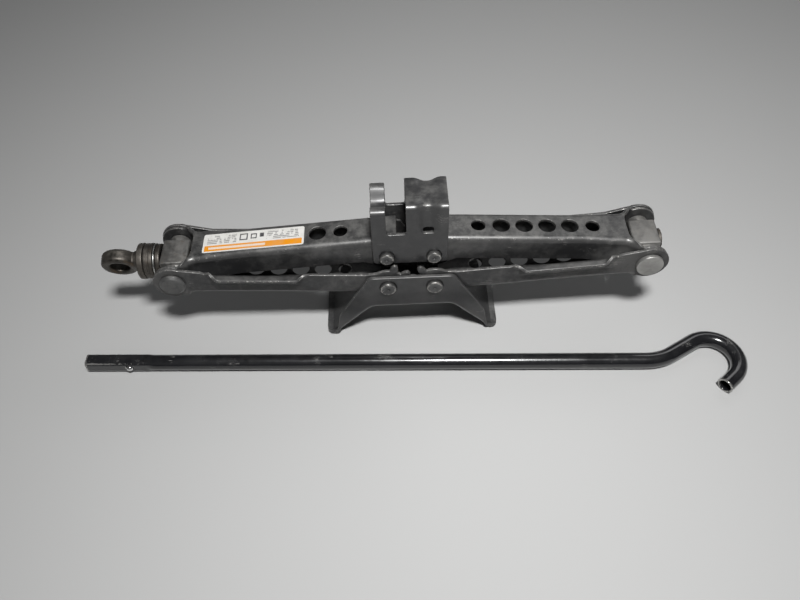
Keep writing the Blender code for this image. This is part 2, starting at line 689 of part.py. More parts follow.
def lead_screw(name):
    """The screw with its forged eye, along X. Its origin is on its axis, in the middle of the left block."""
    collar_face = list(thrust_stack())[-1][3] + GAP
    eye_x = -collar_face - EYE_REACH
    free_end = 2 * TRUNNION_X + BLOCK_HALF_LENGTH + GAP + STOP_THICKNESS
    ease = 0.1 * SCREW_RADIUS
    start = eye_x + (EYE_RADIUS + EYE_HOLE_RADIUS) / 2
    profile = [(SCREW_RADIUS, start), (SCREW_RADIUS, free_end - ease), (SCREW_RADIUS - ease, free_end)]
    screw = turned(name, profile, segments=24)
    neck_angle = math.acos(EYE_NECK_HALF_HEIGHT / EYE_RADIUS)
    neck_start = math.pi / 2 - neck_angle
    outline = arc((eye_x, 0), EYE_RADIUS, neck_start, 2 * math.pi - neck_start, 28)
    outline += [(-collar_face, -EYE_NECK_HALF_HEIGHT), (-collar_face, EYE_NECK_HALF_HEIGHT)]
    eye = prism("eye", outline, -EYE_THICKNESS / 2, EYE_THICKNESS / 2)
    cut(eye, cylinder(EYE_HOLE_RADIUS, -EYE_THICKNESS, EYE_THICKNESS, centre=(eye_x, 0, 0)))
    eye.data.transform(Matrix.Rotation(EYE_TWIST, 4, "X"))
    join(screw, eye)
    return screw


def screw_stop(name):
    """The stop ring at the screw's free end."""
    near = 2 * TRUNNION_X + BLOCK_HALF_LENGTH + GAP
    return screw_ring(name, STOP_RADIUS, -near, -near - STOP_THICKNESS)


# Handle -----------------------------------------------------------------------------------------------------


def handle_route():
    """(place, heading, distance) along the handle's centre line, in its own frame: straight along +X, a sweep to
    the left, a short straight, then the hook to the right."""
    x, y, heading, distance = 0.0, 0.0, 0.0, 0.0
    yield (x, y), heading, distance
    legs = (
        (HANDLE_STRAIGHT, 0, 1),
        (SWEEP_RADIUS * SWEEP_ANGLE, SWEEP_ANGLE, 5),
        (SWEEP_STRAIGHT, 0, 1),
        (HOOK_RADIUS * HOOK_ANGLE, -HOOK_ANGLE, 16),
        (HOOK_STRAIGHT, 0, 1),
    )
    marks = (SQUARE_LENGTH, SQUARE_LENGTH + SQUARE_RUNOUT)
    for length, turn, steps in legs:
        stops = [length * (i + 1) / steps for i in range(steps)]
        if not distance:
            stops = [*marks, *stops]
        done = 0.0
        for stop in stops:
            step, part = stop - done, turn * (stop - done) / length
            chord = step if not part else 2 * (step / part) * math.sin(part / 2)
            x += chord * math.cos(heading + part / 2)
            y += chord * math.sin(heading + part / 2)
            heading += part
            distance += step
            done = stop
            yield (x, y), heading, distance


def tube_ring(place, heading, radius_at, segments):
    """A ring of points round the route, from the radius at each angle."""
    side = Vector((-math.sin(heading), math.cos(heading), 0))
    centre = Vector((*place, 0))
    ring = []
    for i in range(segments):
        angle = 2 * math.pi * (i + 0.5) / segments
        ring.append(centre + radius_at(angle) * (side * math.cos(angle) + Vector((0, 0, 1)) * math.sin(angle)))
    return ring


def squared(angle):
    """The pressed end's outline: four flats with round corners."""
    return min(SQUARE_CORNER_RADIUS, SQUARE_HALF / max(abs(math.cos(angle)), abs(math.sin(angle))))


def handle_rod(name):
    segments = 24
    bore = TUBE_RADIUS - TUBE_WALL
    outside, inside = [], []
    for place, heading, distance in handle_route():
        is_square = distance < SQUARE_LENGTH + SQUARE_RUNOUT / 2
        outside.append(tube_ring(place, heading, squared if is_square else lambda a: TUBE_RADIUS, segments))
        inside.append(tube_ring(place, heading, lambda a: bore, segments))
    rod = loft(name, outside + list(reversed(inside)), closed=True)
    hole = cylinder(BALL_RADIUS + GAP, -TUBE_RADIUS - BEYOND, 0, centre=(BALL_PLACE, 0, 0), segments=20)
    cut(rod, hole)
    return rod


def detent_ball(name):
    """The ball in the handle's side, its origin at its centre."""
    bm = bmesh.new()
    bmesh.ops.create_uvsphere(bm, u_segments=20, v_segments=12, radius=BALL_RADIUS)
    return solid(name, bm)


def ball_depth():
    """From the handle's centre line to the ball's centre."""
    return SQUARE_HALF + BALL_PROUD - BALL_RADIUS


def detent_spring(name):
    """A bowed leaf in the tube behind the ball, clear of it when it is pressed in."""
    bore = TUBE_RADIUS - TUBE_WALL
    wall = math.sqrt(bore ** 2 - (SPRING_WIDTH / 2) ** 2) - GAP
    crest = ball_depth() - BALL_RADIUS - BALL_TRAVEL - GAP
    steps = 12
    rings = []
    for i in range(steps + 1):
        along = (i / steps - 0.5) * SPRING_LENGTH
        bow = (1 + math.cos(2 * math.pi * along / SPRING_LENGTH)) / 2
        low = -crest * bow + (wall - SPRING_THICKNESS) * (1 - bow)
        low = max(low, -crest)
        half = SPRING_WIDTH / 2
        ends = ((low, -half), (low + SPRING_THICKNESS, -half), (low + SPRING_THICKNESS, half), (low, half))
        rings.append([(BALL_PLACE + along, y, z) for y, z in ends])
    return loft(name, rings)


# Materials and assembly -------------------------------------------------------------------------------------

FINISHES = {
    "arm_paint": ((0.060, 0.060, 0.062), 0.42, 0.35),
    "bracket_paint": ((0.075, 0.075, 0.078), 0.45, 0.35),
    "rivet_steel": ((0.20, 0.20, 0.20), 0.45, 0.60),
    "block_steel": ((0.32, 0.31, 0.29), 0.55, 0.60),
    "phosphate_steel": ((0.17, 0.16, 0.15), 0.55, 0.55),
    "zinc_steel": ((0.45, 0.45, 0.43), 0.35, 0.85),
    "handle_enamel": ((0.012, 0.012, 0.014), 0.22, 0.0),
    "polished_steel": ((0.80, 0.80, 0.80), 0.08, 1.0),
    "spring_steel": ((0.25, 0.25, 0.27), 0.35, 0.9),
    "label_film": ((0.90, 0.88, 0.82), 0.45, 0.0),
}


def finish(name):
    material = bpy.data.materials.get(name)
    if material is None:
        colour, roughness, metallic = FINISHES[name]
        material = bpy.data.materials.new(name)
        material.use_nodes = True
        shader = material.node_tree.nodes["Principled BSDF"]
        shader.inputs["Base Color"].default_value = (*colour, 1)
        shader.inputs["Roughness"].default_value = roughness
        shader.inputs["Metallic"].default_value = metallic
    return material


def frame_empty(name, parent, matrix):
    empty = bpy.data.objects.new(name, None)
    bpy.context.scene.collection.objects.link(empty)
    empty.parent = parent
    empty.matrix_local = matrix
    return empty


def place(obj, parent, material, location=(0, 0, 0)):
    obj.parent = parent
    obj.location = location
    obj.data.materials.clear()
    obj.data.materials.append(finish(material))
    obj.data.shade_smooth()
    obj.data.set_sharp_from_angle(angle=math.radians(32))


def arm_frame(x, height, angle, to_left):
    """An arm's frame on its inner pivot: +X out along the arm, raised by angle, and +Z square to it."""
    turn = Matrix.Rotation(-angle, 4, "Y")
    if to_left:
        turn = Matrix.Rotation(math.pi, 4, "Z") @ turn
    return Matrix.Translation((x, 0, height)) @ turn


def build_arms(root):
    for side, x in (("left", -GEAR_RADIUS), ("right", GEAR_RADIUS)):
        to_left = side == "left"
        lower_frame = arm_frame(x, BASE_PIVOT_HEIGHT, CLOSED_ANGLE, to_left)
        lower_axis = frame_empty(f"lower_{side}_axis", root, lower_frame)
        front = 1 if to_left else -1
        place(lower_arm(f"lower_arm_{side}", to_left, front), lower_axis, "arm_paint")
        upper_frame = arm_frame(x, SADDLE_PIVOT_HEIGHT, -CLOSED_ANGLE, to_left)
        upper_axis = frame_empty(f"upper_{side}_axis", root, upper_frame)
        place(upper_arm(f"upper_arm_{side}", to_left), upper_axis, "arm_paint")
        if to_left:
            place(label("label"), upper_axis, "label_film")


def build_brackets(root):
    place(base_bracket("base_bracket"), root, "bracket_paint")
    place(saddle_bracket("saddle_bracket"), root, "bracket_paint")
    for side, x in (("left", -GEAR_RADIUS), ("right", GEAR_RADIUS)):
        rivet = pivot_rivet(f"base_rivet_{side}", BASE_HALF_WIDTH, BASE_SHANK_RADIUS, BASE_HEAD_RADIUS,
                            BASE_HEAD_HEIGHT)
        place(rivet, root, "bracket_paint", (x, 0, BASE_PIVOT_HEIGHT))
        rivet = pivot_rivet(f"saddle_rivet_{side}", SADDLE_HALF_WIDTH, SADDLE_SHANK_RADIUS, SADDLE_HEAD_RADIUS,
                            SADDLE_HEAD_HEIGHT)
        place(rivet, root, "bracket_paint", (x, 0, SADDLE_PIVOT_HEIGHT))


def build_drive(root):
    left = frame_empty("left_trunnion_axis", root, Matrix.Translation((-TRUNNION_X, 0, TRUNNION_HEIGHT)))
    right = frame_empty("right_trunnion_axis", root, Matrix.Translation((TRUNNION_X, 0, TRUNNION_HEIGHT)))
    place(trunnion_block("trunnion_block_left"), left, "block_steel")
    place(trunnion_block("trunnion_nut_right"), right, "block_steel")
    for side, axis in (("left", left), ("right", right)):
        for end, way in (("front", -1), ("rear", 1)):
            place(trunnion_rivet(f"trunnion_rivet_{side}_{end}", way), axis, "rivet_steel")
    for name, radius, near, far in thrust_stack():
        material = "zinc_steel" if name == "bearing_washer" else "phosphate_steel"
        place(screw_ring(name, radius, near, far), left, material)
    place(lead_screw("lead_screw"), left, "phosphate_steel")
    place(screw_stop("screw_stop"), left, "phosphate_steel")


def build_handle(root):
    frame = Matrix.Translation((*HANDLE_START, TUBE_RADIUS)) @ Matrix.Rotation(HANDLE_TURN, 4, "Z")
    axis = frame_empty("handle_axis", root, frame)
    place(handle_rod("handle_rod"), axis, "handle_enamel")
    place(detent_ball("detent_ball"), axis, "polished_steel", (BALL_PLACE, -ball_depth(), 0))
    place(detent_spring("detent_spring"), axis, "spring_steel")


def centre_on_floor(root):
    """Moves the whole model so that the origin is under the middle of its box."""
    bpy.context.view_layer.update()
    points = [obj.matrix_world @ vertex.co for obj in bpy.data.objects if obj.type == "MESH"
              for vertex in obj.data.vertices]
    low = [min(point[i] for point in points) for i in range(3)]
    high = [max(point[i] for point in points) for i in range(3)]
    root.location = (-(low[0] + high[0]) / 2, -(low[1] + high[1]) / 2, -low[2])
    bpy.context.view_layer.update()


def main():
    empty_scene()
    root = frame_empty("jack_frame", None, Matrix.Identity(4))
    build_brackets(root)
    build_arms(root)
    build_drive(root)
    build_handle(root)
    centre_on_floor(root)


main()
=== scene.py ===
"""The looks of a scissor car jack and its crank handle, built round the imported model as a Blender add-on."""

import json
import math
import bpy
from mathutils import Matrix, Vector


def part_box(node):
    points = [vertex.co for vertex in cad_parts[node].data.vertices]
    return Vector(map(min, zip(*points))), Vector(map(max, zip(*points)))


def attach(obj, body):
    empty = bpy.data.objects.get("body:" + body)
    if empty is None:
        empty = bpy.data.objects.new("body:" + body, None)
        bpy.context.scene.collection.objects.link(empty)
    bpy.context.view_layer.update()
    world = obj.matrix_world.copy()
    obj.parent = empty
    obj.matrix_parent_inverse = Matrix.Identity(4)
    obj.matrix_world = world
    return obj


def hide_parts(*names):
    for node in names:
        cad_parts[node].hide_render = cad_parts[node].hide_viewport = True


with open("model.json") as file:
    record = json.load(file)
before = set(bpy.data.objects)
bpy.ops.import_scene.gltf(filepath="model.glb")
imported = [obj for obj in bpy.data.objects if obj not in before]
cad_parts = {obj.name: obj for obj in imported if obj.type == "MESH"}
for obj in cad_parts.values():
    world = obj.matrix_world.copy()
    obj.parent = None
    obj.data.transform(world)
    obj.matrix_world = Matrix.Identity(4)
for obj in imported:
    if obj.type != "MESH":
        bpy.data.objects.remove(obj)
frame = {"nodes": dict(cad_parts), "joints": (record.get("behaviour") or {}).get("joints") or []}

from types import SimpleNamespace

import bmesh
import bpy
import numpy as np
from mathutils import Matrix, Vector
from mathutils.geometry import delaunay_2d_cdt

bl_info = {
    "name": "Scissor Car Jack",
    "version": (1, 0, 0),
    "blender": (4, 5, 0),
    "location": "View3D > Sidebar > Car Jack",
    "description": "Builds the pressed, forged and turned pieces of a scissor car jack with their finishes",
    "category": "Object",
}

JOINTS = {joint["name"]: joint for joint in frame["joints"]}
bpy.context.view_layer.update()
MM = 0.001
QUARTER = math.pi / 2


def pivot(name):
    return Vector(JOINTS[name]["pos_m"])


BASE_LEFT = pivot("lift")
BASE_RIGHT = pivot("lower_right_pivot")
TRUNNION_LEFT = pivot("left_trunnion_pivot")
TRUNNION_RIGHT = pivot("right_trunnion_pivot")
SADDLE_LEFT = pivot("saddle_pivot")
SADDLE_RIGHT = SADDLE_LEFT + (BASE_RIGHT - BASE_LEFT)
MIDDLE = (BASE_LEFT + BASE_RIGHT) / 2
GEAR_RADIUS = (BASE_RIGHT - BASE_LEFT).length / 2
ARM_LENGTH = (TRUNNION_LEFT - BASE_LEFT).length
CLOSED_ANGLE = math.asin((TRUNNION_LEFT.z - BASE_LEFT.z) / ARM_LENGTH)


# Shapes in numbers ------------------------------------------------------------------------------------------


def ease(x, start, end):
    """0 before start, 1 after end, and a smooth step between."""
    share = np.clip((np.asarray(x, float) - start) / (end - start), 0, 1)
    return share * share * (3 - 2 * share)


def arc(centre, radius, start, end, steps):
    angles = [start + (end - start) * i / steps for i in range(steps + 1)]
    return [(centre[0] + radius * math.cos(a), centre[1] + radius * math.sin(a)) for a in angles]


def rounded(corners, steps=6, closed=True):
    """An outline from (x, y, radius) corners, each with its radius as a fillet."""
    outline = []
    count = len(corners)
    for i, (x, y, radius) in enumerate(corners):
        if not radius or (not closed and i in (0, count - 1)):
            outline.append((x, y))
            continue
        corner = Vector((x, y))
        before = (Vector(corners[i - 1][:2]) - corner).normalized()
        after = (Vector(corners[(i + 1) % count][:2]) - corner).normalized()
        half = before.angle(after) / 2
        middle = corner + (before + after).normalized() * (radius / math.sin(half))
        start = corner + before * (radius / math.tan(half)) - middle
        end = corner + after * (radius / math.tan(half)) - middle
        first = math.atan2(start.y, start.x)
        outline += arc(middle, radius, first, first - start.angle_signed(end), steps)
    return outline


def spaced(loop, step, closed=True):
    """The loop with its long edges divided."""
    points = []
    count = len(loop)
    for i in range(count if closed else count - 1):
        a, b = np.array(loop[i], float), np.array(loop[(i + 1) % count], float)
        parts = max(1, int(math.ceil(np.linalg.norm(b - a) / step)))
        points += [tuple(a + (b - a) * k / parts) for k in range(parts)]
    if not closed:
        points.append(tuple(loop[-1]))
    return points


def signed_area(loop):
    p = np.array(loop)
    q = np.roll(p, -1, axis=0)
    return float((p[:, 0] * q[:, 1] - q[:, 0] * p[:, 1]).sum() / 2)


def inset(loop, distance, hole=False):
    """The loop moved into the material, which lies inside an outline and outside a hole."""
    p = np.array(loop, float)
    if (signed_area(loop) < 0) != hole:
        p = p[::-1]
    back, ahead = p - np.roll(p, 1, axis=0), np.roll(p, -1, axis=0) - p
    normals = []
    for edge in (back, ahead):
        length = np.linalg.norm(edge, axis=1, keepdims=True)
        normals.append(np.stack([-edge[:, 1], edge[:, 0]], axis=1) / length)
    middle = normals[0] + normals[1]
    middle /= np.linalg.norm(middle, axis=1, keepdims=True)
    share = np.clip((middle * normals[0]).sum(axis=1, keepdims=True), 0.5, 1)
    return p + middle * distance / share


def inside(points, loops):
    """Which points lie inside the first loop and in none of the holes, by crossings."""
    x, y = points[:, 0][:, None], points[:, 1][:, None]
    count = np.zeros(len(points), int)
    for loop in loops:
        a, b = np.asarray(loop), np.roll(np.asarray(loop), -1, axis=0)
        spans = (a[:, 1] > y) != (b[:, 1] > y)
        rise = b[:, 1] - a[:, 1]
        rise = np.where(np.abs(rise) < 1e-15, 1e-15, rise)
        at = a[:, 0] + (y - a[:, 1]) * (b[:, 0] - a[:, 0]) / rise
        count += (spans & (x < at)).sum(axis=1)
    return count % 2 == 1


def clear_of(points, loops, gap):
    """Which points are at least the gap away from every loop."""
    keep = np.ones(len(points), bool)
    for loop in loops:
        a, b = np.asarray(loop), np.roll(np.asarray(loop), -1, axis=0)
        along = b - a
        square = np.maximum((along ** 2).sum(axis=1), 1e-18)
        for start in range(0, len(points), 2000):
            part = points[start:start + 2000]
            share = np.clip(((part[:, None] - a) * along).sum(axis=2) / square, 0, 1)
            nearest = a + share[..., None] * along
            away = np.linalg.norm(part[:, None] - nearest, axis=2).min(axis=1)
            keep[start:start + 2000] &= away > gap
    return keep


def flat_mesh(outline, holes, grid, gap):
    """Triangles over a flat shape, through the grid's points inside it: (points, faces)."""
    loops = [outline, *holes]
    grid = np.asarray(grid, float)
    grid = grid[inside(grid, loops)]
    grid = grid[clear_of(grid, loops, gap)]
    points, edges = [], []
    for loop in loops:
        first = len(points)
        points += [Vector(p) for p in loop]
        edges += [(first + i, first + (i + 1) % len(loop)) for i in range(len(loop))]
    points += [Vector(p) for p in grid]
    made = delaunay_2d_cdt(points, edges, [], 0, 1e-9)
    flat = np.array([tuple(p) for p in made[0]])
    faces = np.array([list(f) for f in made[2] if len(f) == 3])
    middles = flat[faces].mean(axis=1)
    faces = faces[inside(middles, loops)]
    used = np.unique(faces)
    renumber = np.full(len(flat), -1)
    renumber[used] = np.arange(len(used))
    return flat[used], renumber[faces]


def surface_normals(place, flat, outward):
    """Normals of a placed surface by small differences, turned so that the one at outward's point agrees."""
    step = 2e-6
    along = place(flat[:, 0] + step, flat[:, 1]) - place(flat[:, 0] - step, flat[:, 1])
    across = place(flat[:, 0], flat[:, 1] + step) - place(flat[:, 0], flat[:, 1] - step)
    normals = np.cross(along, across)
    normals /= np.linalg.norm(normals, axis=1, keepdims=True)
    where, direction = outward
    nearest = np.argmin(((flat - np.array(where)) ** 2).sum(axis=1))
    return normals if normals[nearest] @ np.array(direction) > 0 else -normals


def boundary_loops(faces):
    """The open edges of a surface as vertex loops, with the material on their left seen from outside."""
    ends = np.concatenate([faces[:, [0, 1]], faces[:, [1, 2]], faces[:, [2, 0]]])
    forward = {(int(a), int(b)) for a, b in ends}
    after = {a: b for a, b in forward if (b, a) not in forward}
    loops = []
    while after:
        start, here = next(iter(after.items()))
        loop = [start]
        del after[start]
        while here != start:
            loop.append(here)
            here = after.pop(here)
        loops.append(loop)
    return loops


# Wear on the plates' edges; the finishes also paint these edges paler as a painted edge highlight.
RIM_WEAR_AND_HIGHLIGHT = 0.62


def thicken(points, normals, faces, thickness, edge, worn):
    """A closed plate with rounded edges from its outer surface. The edges stand out past the surface by the
    edge radius. It returns points, faces, normals and wear, 1 on the edges; the finishes paint the worn edges
    paler, as wear and as a painted highlight."""
    faces = np.asarray(faces)
    turned = np.cross(points[faces[:, 1]] - points[faces[:, 0]], points[faces[:, 2]] - points[faces[:, 0]])
    if (turned * normals[faces[:, 0]]).sum() < 0:
        faces = faces[:, ::-1]
    count = len(points)
    all_points = [points, points - normals * thickness]
    all_normals = [normals, -normals]
    all_worn = [worn, worn * 0.5]
    polygons = [tuple(f) for f in faces] + [tuple(f[::-1] + count) for f in faces]
    total = 2 * count
    angles = [math.radians(a) for a in (30, 60, 90)]
    for loop in boundary_loops(faces):
        p, n = points[loop], normals[loop]
        back, ahead = p - np.roll(p, 1, axis=0), np.roll(p, -1, axis=0) - p
        out = []
        for step in (back, ahead):
            side = np.cross(step, n)
            out.append(side / np.maximum(np.linalg.norm(side, axis=1, keepdims=True), 1e-12))
        middle = out[0] + out[1]
        middle /= np.maximum(np.linalg.norm(middle, axis=1, keepdims=True), 1e-9)
        reach = middle / np.clip((middle * out[0]).sum(axis=1, keepdims=True), 0.6, 1)
        rings = [list(loop)]
        for base, way, order in ((p, -1, angles), (p - n * thickness, 1, angles[::-1])):
            for angle in order:
                sunk = way * edge * (1 - math.cos(angle))
                all_points.append(base + reach * edge * math.sin(angle) + n * sunk)
                normal = middle * math.sin(angle) - way * n * math.cos(angle)
                all_normals.append(normal / np.linalg.norm(normal, axis=1, keepdims=True))
                all_worn.append(np.full(len(loop), RIM_WEAR_AND_HIGHLIGHT))
                rings.append([total + i for i in range(len(loop))])
                total += len(loop)
        rings.append([i + count for i in loop])
        for near, far in zip(rings, rings[1:]):
            for i in range(len(loop)):
                j = (i + 1) % len(loop)
                polygons.append((near[j], near[i], far[i], far[j]))
    return np.concatenate(all_points), polygons, np.concatenate(all_normals), np.concatenate(all_worn)


# Objects ----------------------------------------------------------------------------------------------------


def in_scene(name, data):
    obj = bpy.data.objects.new(name, data)
    bpy.context.scene.collection.objects.link(obj)
    return obj


def mesh_of(name, bm):
    """A mesh from the bmesh, which it frees."""
    mesh = bpy.data.meshes.new(name)
    bm.to_mesh(mesh)
    bm.free()
    return mesh


def face_outwards(mesh):
    bm = bmesh.new()
    bm.from_mesh(mesh)
    bmesh.ops.recalc_face_normals(bm, faces=bm.faces)
    bm.to_mesh(mesh)
    bm.free()


def between_rings(near, far, count):
    """The quads between two rings of points, each given by its first point's number."""
    return [(near + k, near + (k + 1) % count, far + (k + 1) % count, far + k) for k in range(count)]


def new_object(name, points, polygons, normals=None, worn=None):
    mesh = bpy.data.meshes.new(name)
    mesh.from_pydata([tuple(p) for p in points], [], [tuple(int(i) for i in f) for f in polygons])
    mesh.shade_smooth()
    if worn is not None:
        # The worn mask drives both wear and a painted highlight in the finishes.
        attribute = mesh.attributes.new("worn", "FLOAT", "POINT")
        attribute.data.foreach_set("value", np.asarray(worn, np.float32))
    if normals is not None:
        mesh.normals_split_custom_set_from_vertices([tuple(n) for n in normals])
    return in_scene(name, mesh)


def finished(obj):
    """The object with its modifiers made into its mesh."""
    bpy.context.view_layer.update()
    evaluated = obj.evaluated_get(bpy.context.evaluated_depsgraph_get())
    mesh = bpy.data.meshes.new_from_object(evaluated)
    mesh.name = obj.name
    obj.modifiers.clear()
    obj.data = mesh
    return obj


def boolean(obj, tool, operation):
    modifier = obj.modifiers.new(operation, "BOOLEAN")
    modifier.operation = operation
    modifier.object = tool
    finished(obj)
    bpy.data.objects.remove(tool, do_unlink=True)
    return obj


def hand_over(obj, body, material, slot, *nodes):
    """Gives a finished piece its material and its place in the frame."""
    obj.data.materials.clear()
    obj.data.materials.append(material)
    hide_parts(*nodes)
    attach(obj, body)
    return obj


def lathe(name, profile, axis, centre, segments=56, ring=False, worn=None):
    """A turned piece from (radius, place) points, its normals weighted by the length of the profile's parts.
    A profile that isn't a ring is closed on its axis."""
    rows = np.array(profile, float)
    count = len(rows)
    ahead = np.roll(rows, -1, axis=0) - rows
    if not ring:
        ahead[-1] = (-rows[-1][0], 0)
    back = np.roll(ahead, 1, axis=0)
    if not ring:
        back[0] = (rows[0][0], 0)
    flat = np.stack([ahead[:, 1] + back[:, 1], -(ahead[:, 0] + back[:, 0])], axis=1)
    flat /= np.maximum(np.linalg.norm(flat, axis=1, keepdims=True), 1e-12)
    turns = np.arange(segments) * 2 * math.pi / segments
    spin = np.stack([np.cos(turns), np.sin(turns)], axis=1)
    order = {"X": (1, 2, 0), "Y": (2, 0, 1), "Z": (0, 1, 2)}[axis]
    points = np.zeros((count * segments, 3))
    normals = np.zeros((count * segments, 3))
    for i in range(count):
        part = slice(i * segments, (i + 1) * segments)
        points[part, order[0]] = rows[i, 0] * spin[:, 0]
        points[part, order[1]] = rows[i, 0] * spin[:, 1]
        points[part, order[2]] = rows[i, 1]
        normals[part, order[0]] = flat[i, 0] * spin[:, 0]
        normals[part, order[1]] = flat[i, 0] * spin[:, 1]
        normals[part, order[2]] = flat[i, 1]
    polygons = []
    for i in range(count if ring else count - 1):
        polygons += between_rings(i * segments, ((i + 1) % count) * segments, segments)
    wear = np.repeat(np.zeros(count) if worn is None else np.array(worn, float), segments)
    if not ring:
        for i, flip in ((0, True), (count - 1, False)):
            middle = np.zeros(3)
            middle[order[2]] = rows[i, 1]
            normal = np.zeros(3)
            normal[order[2]] = -1 if flip else 1
            if rows[-1, 1] < rows[0, 1]:
                normal = -normal
            points = np.vstack([points, middle])
            normals = np.vstack([normals, normal])
            wear = np.append(wear, 0)
            pole = len(points) - 1
            for k in range(segments):
                m = (k + 1) % segments
                a, b = i * segments + k, i * segments + m
                polygons.append((pole, b, a) if flip else (pole, a, b))
    points += np.array(centre)
    obj = new_object(name, points, polygons, None, wear)
    face_outwards(obj.data)
    first = obj.data.polygons[0]
    outward = sum((Vector(normals[i]) for i in first.vertices), Vector())
    sign = 1 if outward.dot(first.normal) > 0 else -1
    obj.data.normals_split_custom_set_from_vertices([tuple(sign * n) for n in normals])
    return obj


def eased_profile(corners, steps=3):
    """A turned profile from (radius, place, fillet) corners."""
    return rounded(corners, steps, closed=False)


# Pressed arms -----------------------------------------------------------------------------------------------

TEETH_IN_CIRCLE = 10
TEETH_CUT = 3
PRESSURE_ANGLE = math.radians(25)
ADDENDUM = 2.6 * MM
DEDENDUM = 3.4 * MM
BACKLASH = 0.5 * MM


def involute(angle):
    return math.tan(angle) - angle


def tooth(middle):
    """One tooth's outline about an angle: a flank, the tip and the other flank."""
    base = GEAR_RADIUS * math.cos(PRESSURE_ANGLE)
    tip = GEAR_RADIUS + ADDENDUM
    base_half = math.pi / (2 * TEETH_IN_CIRCLE) - BACKLASH / 4 / GEAR_RADIUS + involute(PRESSURE_ANGLE)
    flank = [(GEAR_RADIUS - DEDENDUM, base_half), (base, base_half)]
    for i in range(1, 4):
        radius = base + (tip - base) * i / 3
        flank.append((radius, base_half - involute(math.acos(base / radius))))
    points = [(r, middle - half) for r, half in flank]
    points += [(r, middle + half) for r, half in reversed(flank)]
    return [(r * math.cos(a), r * math.sin(a)) for r, a in points]


def gear_edge(tooth_on_mesh_line):
    """The toothed end, as (along, height), from the rim round to the web."""
    pitch = 2 * math.pi / TEETH_IN_CIRCLE
    first = math.pi - CLOSED_ANGLE + (0 if tooth_on_mesh_line else pitch / 2)
    root = GEAR_RADIUS - DEDENDUM
    points = arc((0, 0), root, math.radians(50), first - (TEETH_CUT - 0.8) * pitch, 4)
    for i in reversed(range(TEETH_CUT)):
        points += tooth(first - i * pitch)
    points.append((root * math.cos(math.radians(212)), root * math.sin(math.radians(212))))
    return points


LOWER = SimpleNamespace(
    half=25 * MM, thickness=2.5 * MM, fold=5 * MM, depth=12 * MM, rim=9.7 * MM, web_short=16 * MM,
    ear=15 * MM, widening=0, ear_half=25 * MM, flare=(0.118, 0.156), has_lip=True, inner_hole=4.3 * MM,
)
UPPER = SimpleNamespace(
    half=14.4 * MM, thickness=2.5 * MM, fold=5 * MM, depth=15.14 * MM, rim=6.8 * MM, web_short=16 * MM,
    ear=14.6 * MM, widening=1.8 * MM, ear_half=22.1 * MM, flare=(0.112, 0.157), has_lip=False,
    inner_hole=4.3 * MM,
)
OUTER_HOLE = 5.8 * MM
WEB_TAIL = 9 * MM
UNBEND = 7 * MM
EAR_TOP = math.radians(112)
EDGE = 0.55 * MM
LIP = SimpleNamespace(start=0.060, end=0.129, run=0.011, radius=2.2 * MM, flat=3.0 * MM)
CREASE = SimpleNamespace(height=-0.4 * MM, step=0.35 * MM, start=0.062, end=0.146)
HOLES = SimpleNamespace(first=33.7 * MM, pitch=17.7 * MM, small=5.4 * MM, large=6.7 * MM, count=6)


def arm_frame(origin, to_left, upper):
    """(origin, along, rise) of an arm. Its web lies on the side that rise points away from."""
    way = -1 if to_left else 1
    lift = -CLOSED_ANGLE if upper else CLOSED_ANGLE
    along = np.array([way * math.cos(lift), 0, math.sin(lift)])
    rise = np.array([-way * math.sin(lift), 0, math.cos(lift)])
    return np.array(origin), along, -rise if upper else rise


def arm_place(arm, place):
    """The arm's outer surface over (along, across), where across is 0 in the middle of the web, runs round the
    fold and then up the flange."""
    origin, along, rise = place
    flat = arm.half - arm.fold
    bend = arm.fold * QUARTER
    fold_height = arm.fold - arm.depth
    web_end = ARM_LENGTH - arm.web_short

    def surface(u, s):
        u, s = np.asarray(u, float), np.asarray(s, float)
        side, a = np.where(s < 0, -1.0, 1.0), np.abs(s)
        beyond = ease(u, web_end - 3 * MM, web_end + UNBEND)
        at_fold = arm.half + arm.widening * ease(u, arm.flare[0], web_end)
        at_fold = at_fold + (arm.ear_half - at_fold) * beyond
        at_rim = arm.half + (arm.ear_half - arm.half) * ease(u, *arm.flare)
        beta = np.maximum(QUARTER * (1 - ease(u, web_end + 1 * MM, web_end + UNBEND)), 1e-3)
        inward = flat + bend - a
        angle = np.clip(inward, 0, bend) * beta / bend
        rho = bend / beta
        past = np.maximum(inward - bend, 0)
        y = at_fold - rho * (1 - np.cos(angle)) - past * np.sin(beta) * (at_fold - arm.fold) / flat
        h = fold_height - rho * np.sin(angle) - past * np.cos(beta)
        up = np.maximum(-inward, 0)
        share = np.clip(up / (arm.rim - fold_height), 0, 1)
        y = y + (at_rim - at_fold) * share * share * (3 - 2 * share)
        if arm.has_lip:
            bend_start = arm.rim - arm.thickness - LIP.radius - fold_height
            length = LIP.radius * QUARTER
            turn = ease(u, LIP.start, LIP.start + LIP.run) * (1 - ease(u, LIP.end, LIP.end + LIP.run))
            turn = np.maximum(QUARTER * turn * (s < 0), 1e-3)
            curl = np.clip(up - bend_start, 0, length)
            rest = np.maximum(up - bend_start - length, 0)
            radius = length / turn
            y = y + radius * (1 - np.cos(curl / radius)) + rest * np.sin(turn)
            straight = np.minimum(up, bend_start)
            h = h + straight + radius * np.sin(curl / radius) + rest * np.cos(turn)
            window = ease(u, CREASE.start, CREASE.start + 0.01) * (1 - ease(u, CREASE.end - 0.01, CREASE.end))
            below = ease(-h, -CREASE.height - 0.9 * MM, -CREASE.height + 0.9 * MM) * ease(a, 0, flat)
            y = y - CREASE.step * window * below
        else:
            h = h + up
        return origin + u[..., None] * along + h[..., None] * rise + (side * y)[..., None] * np.array([0, 1, 0])

    return surface


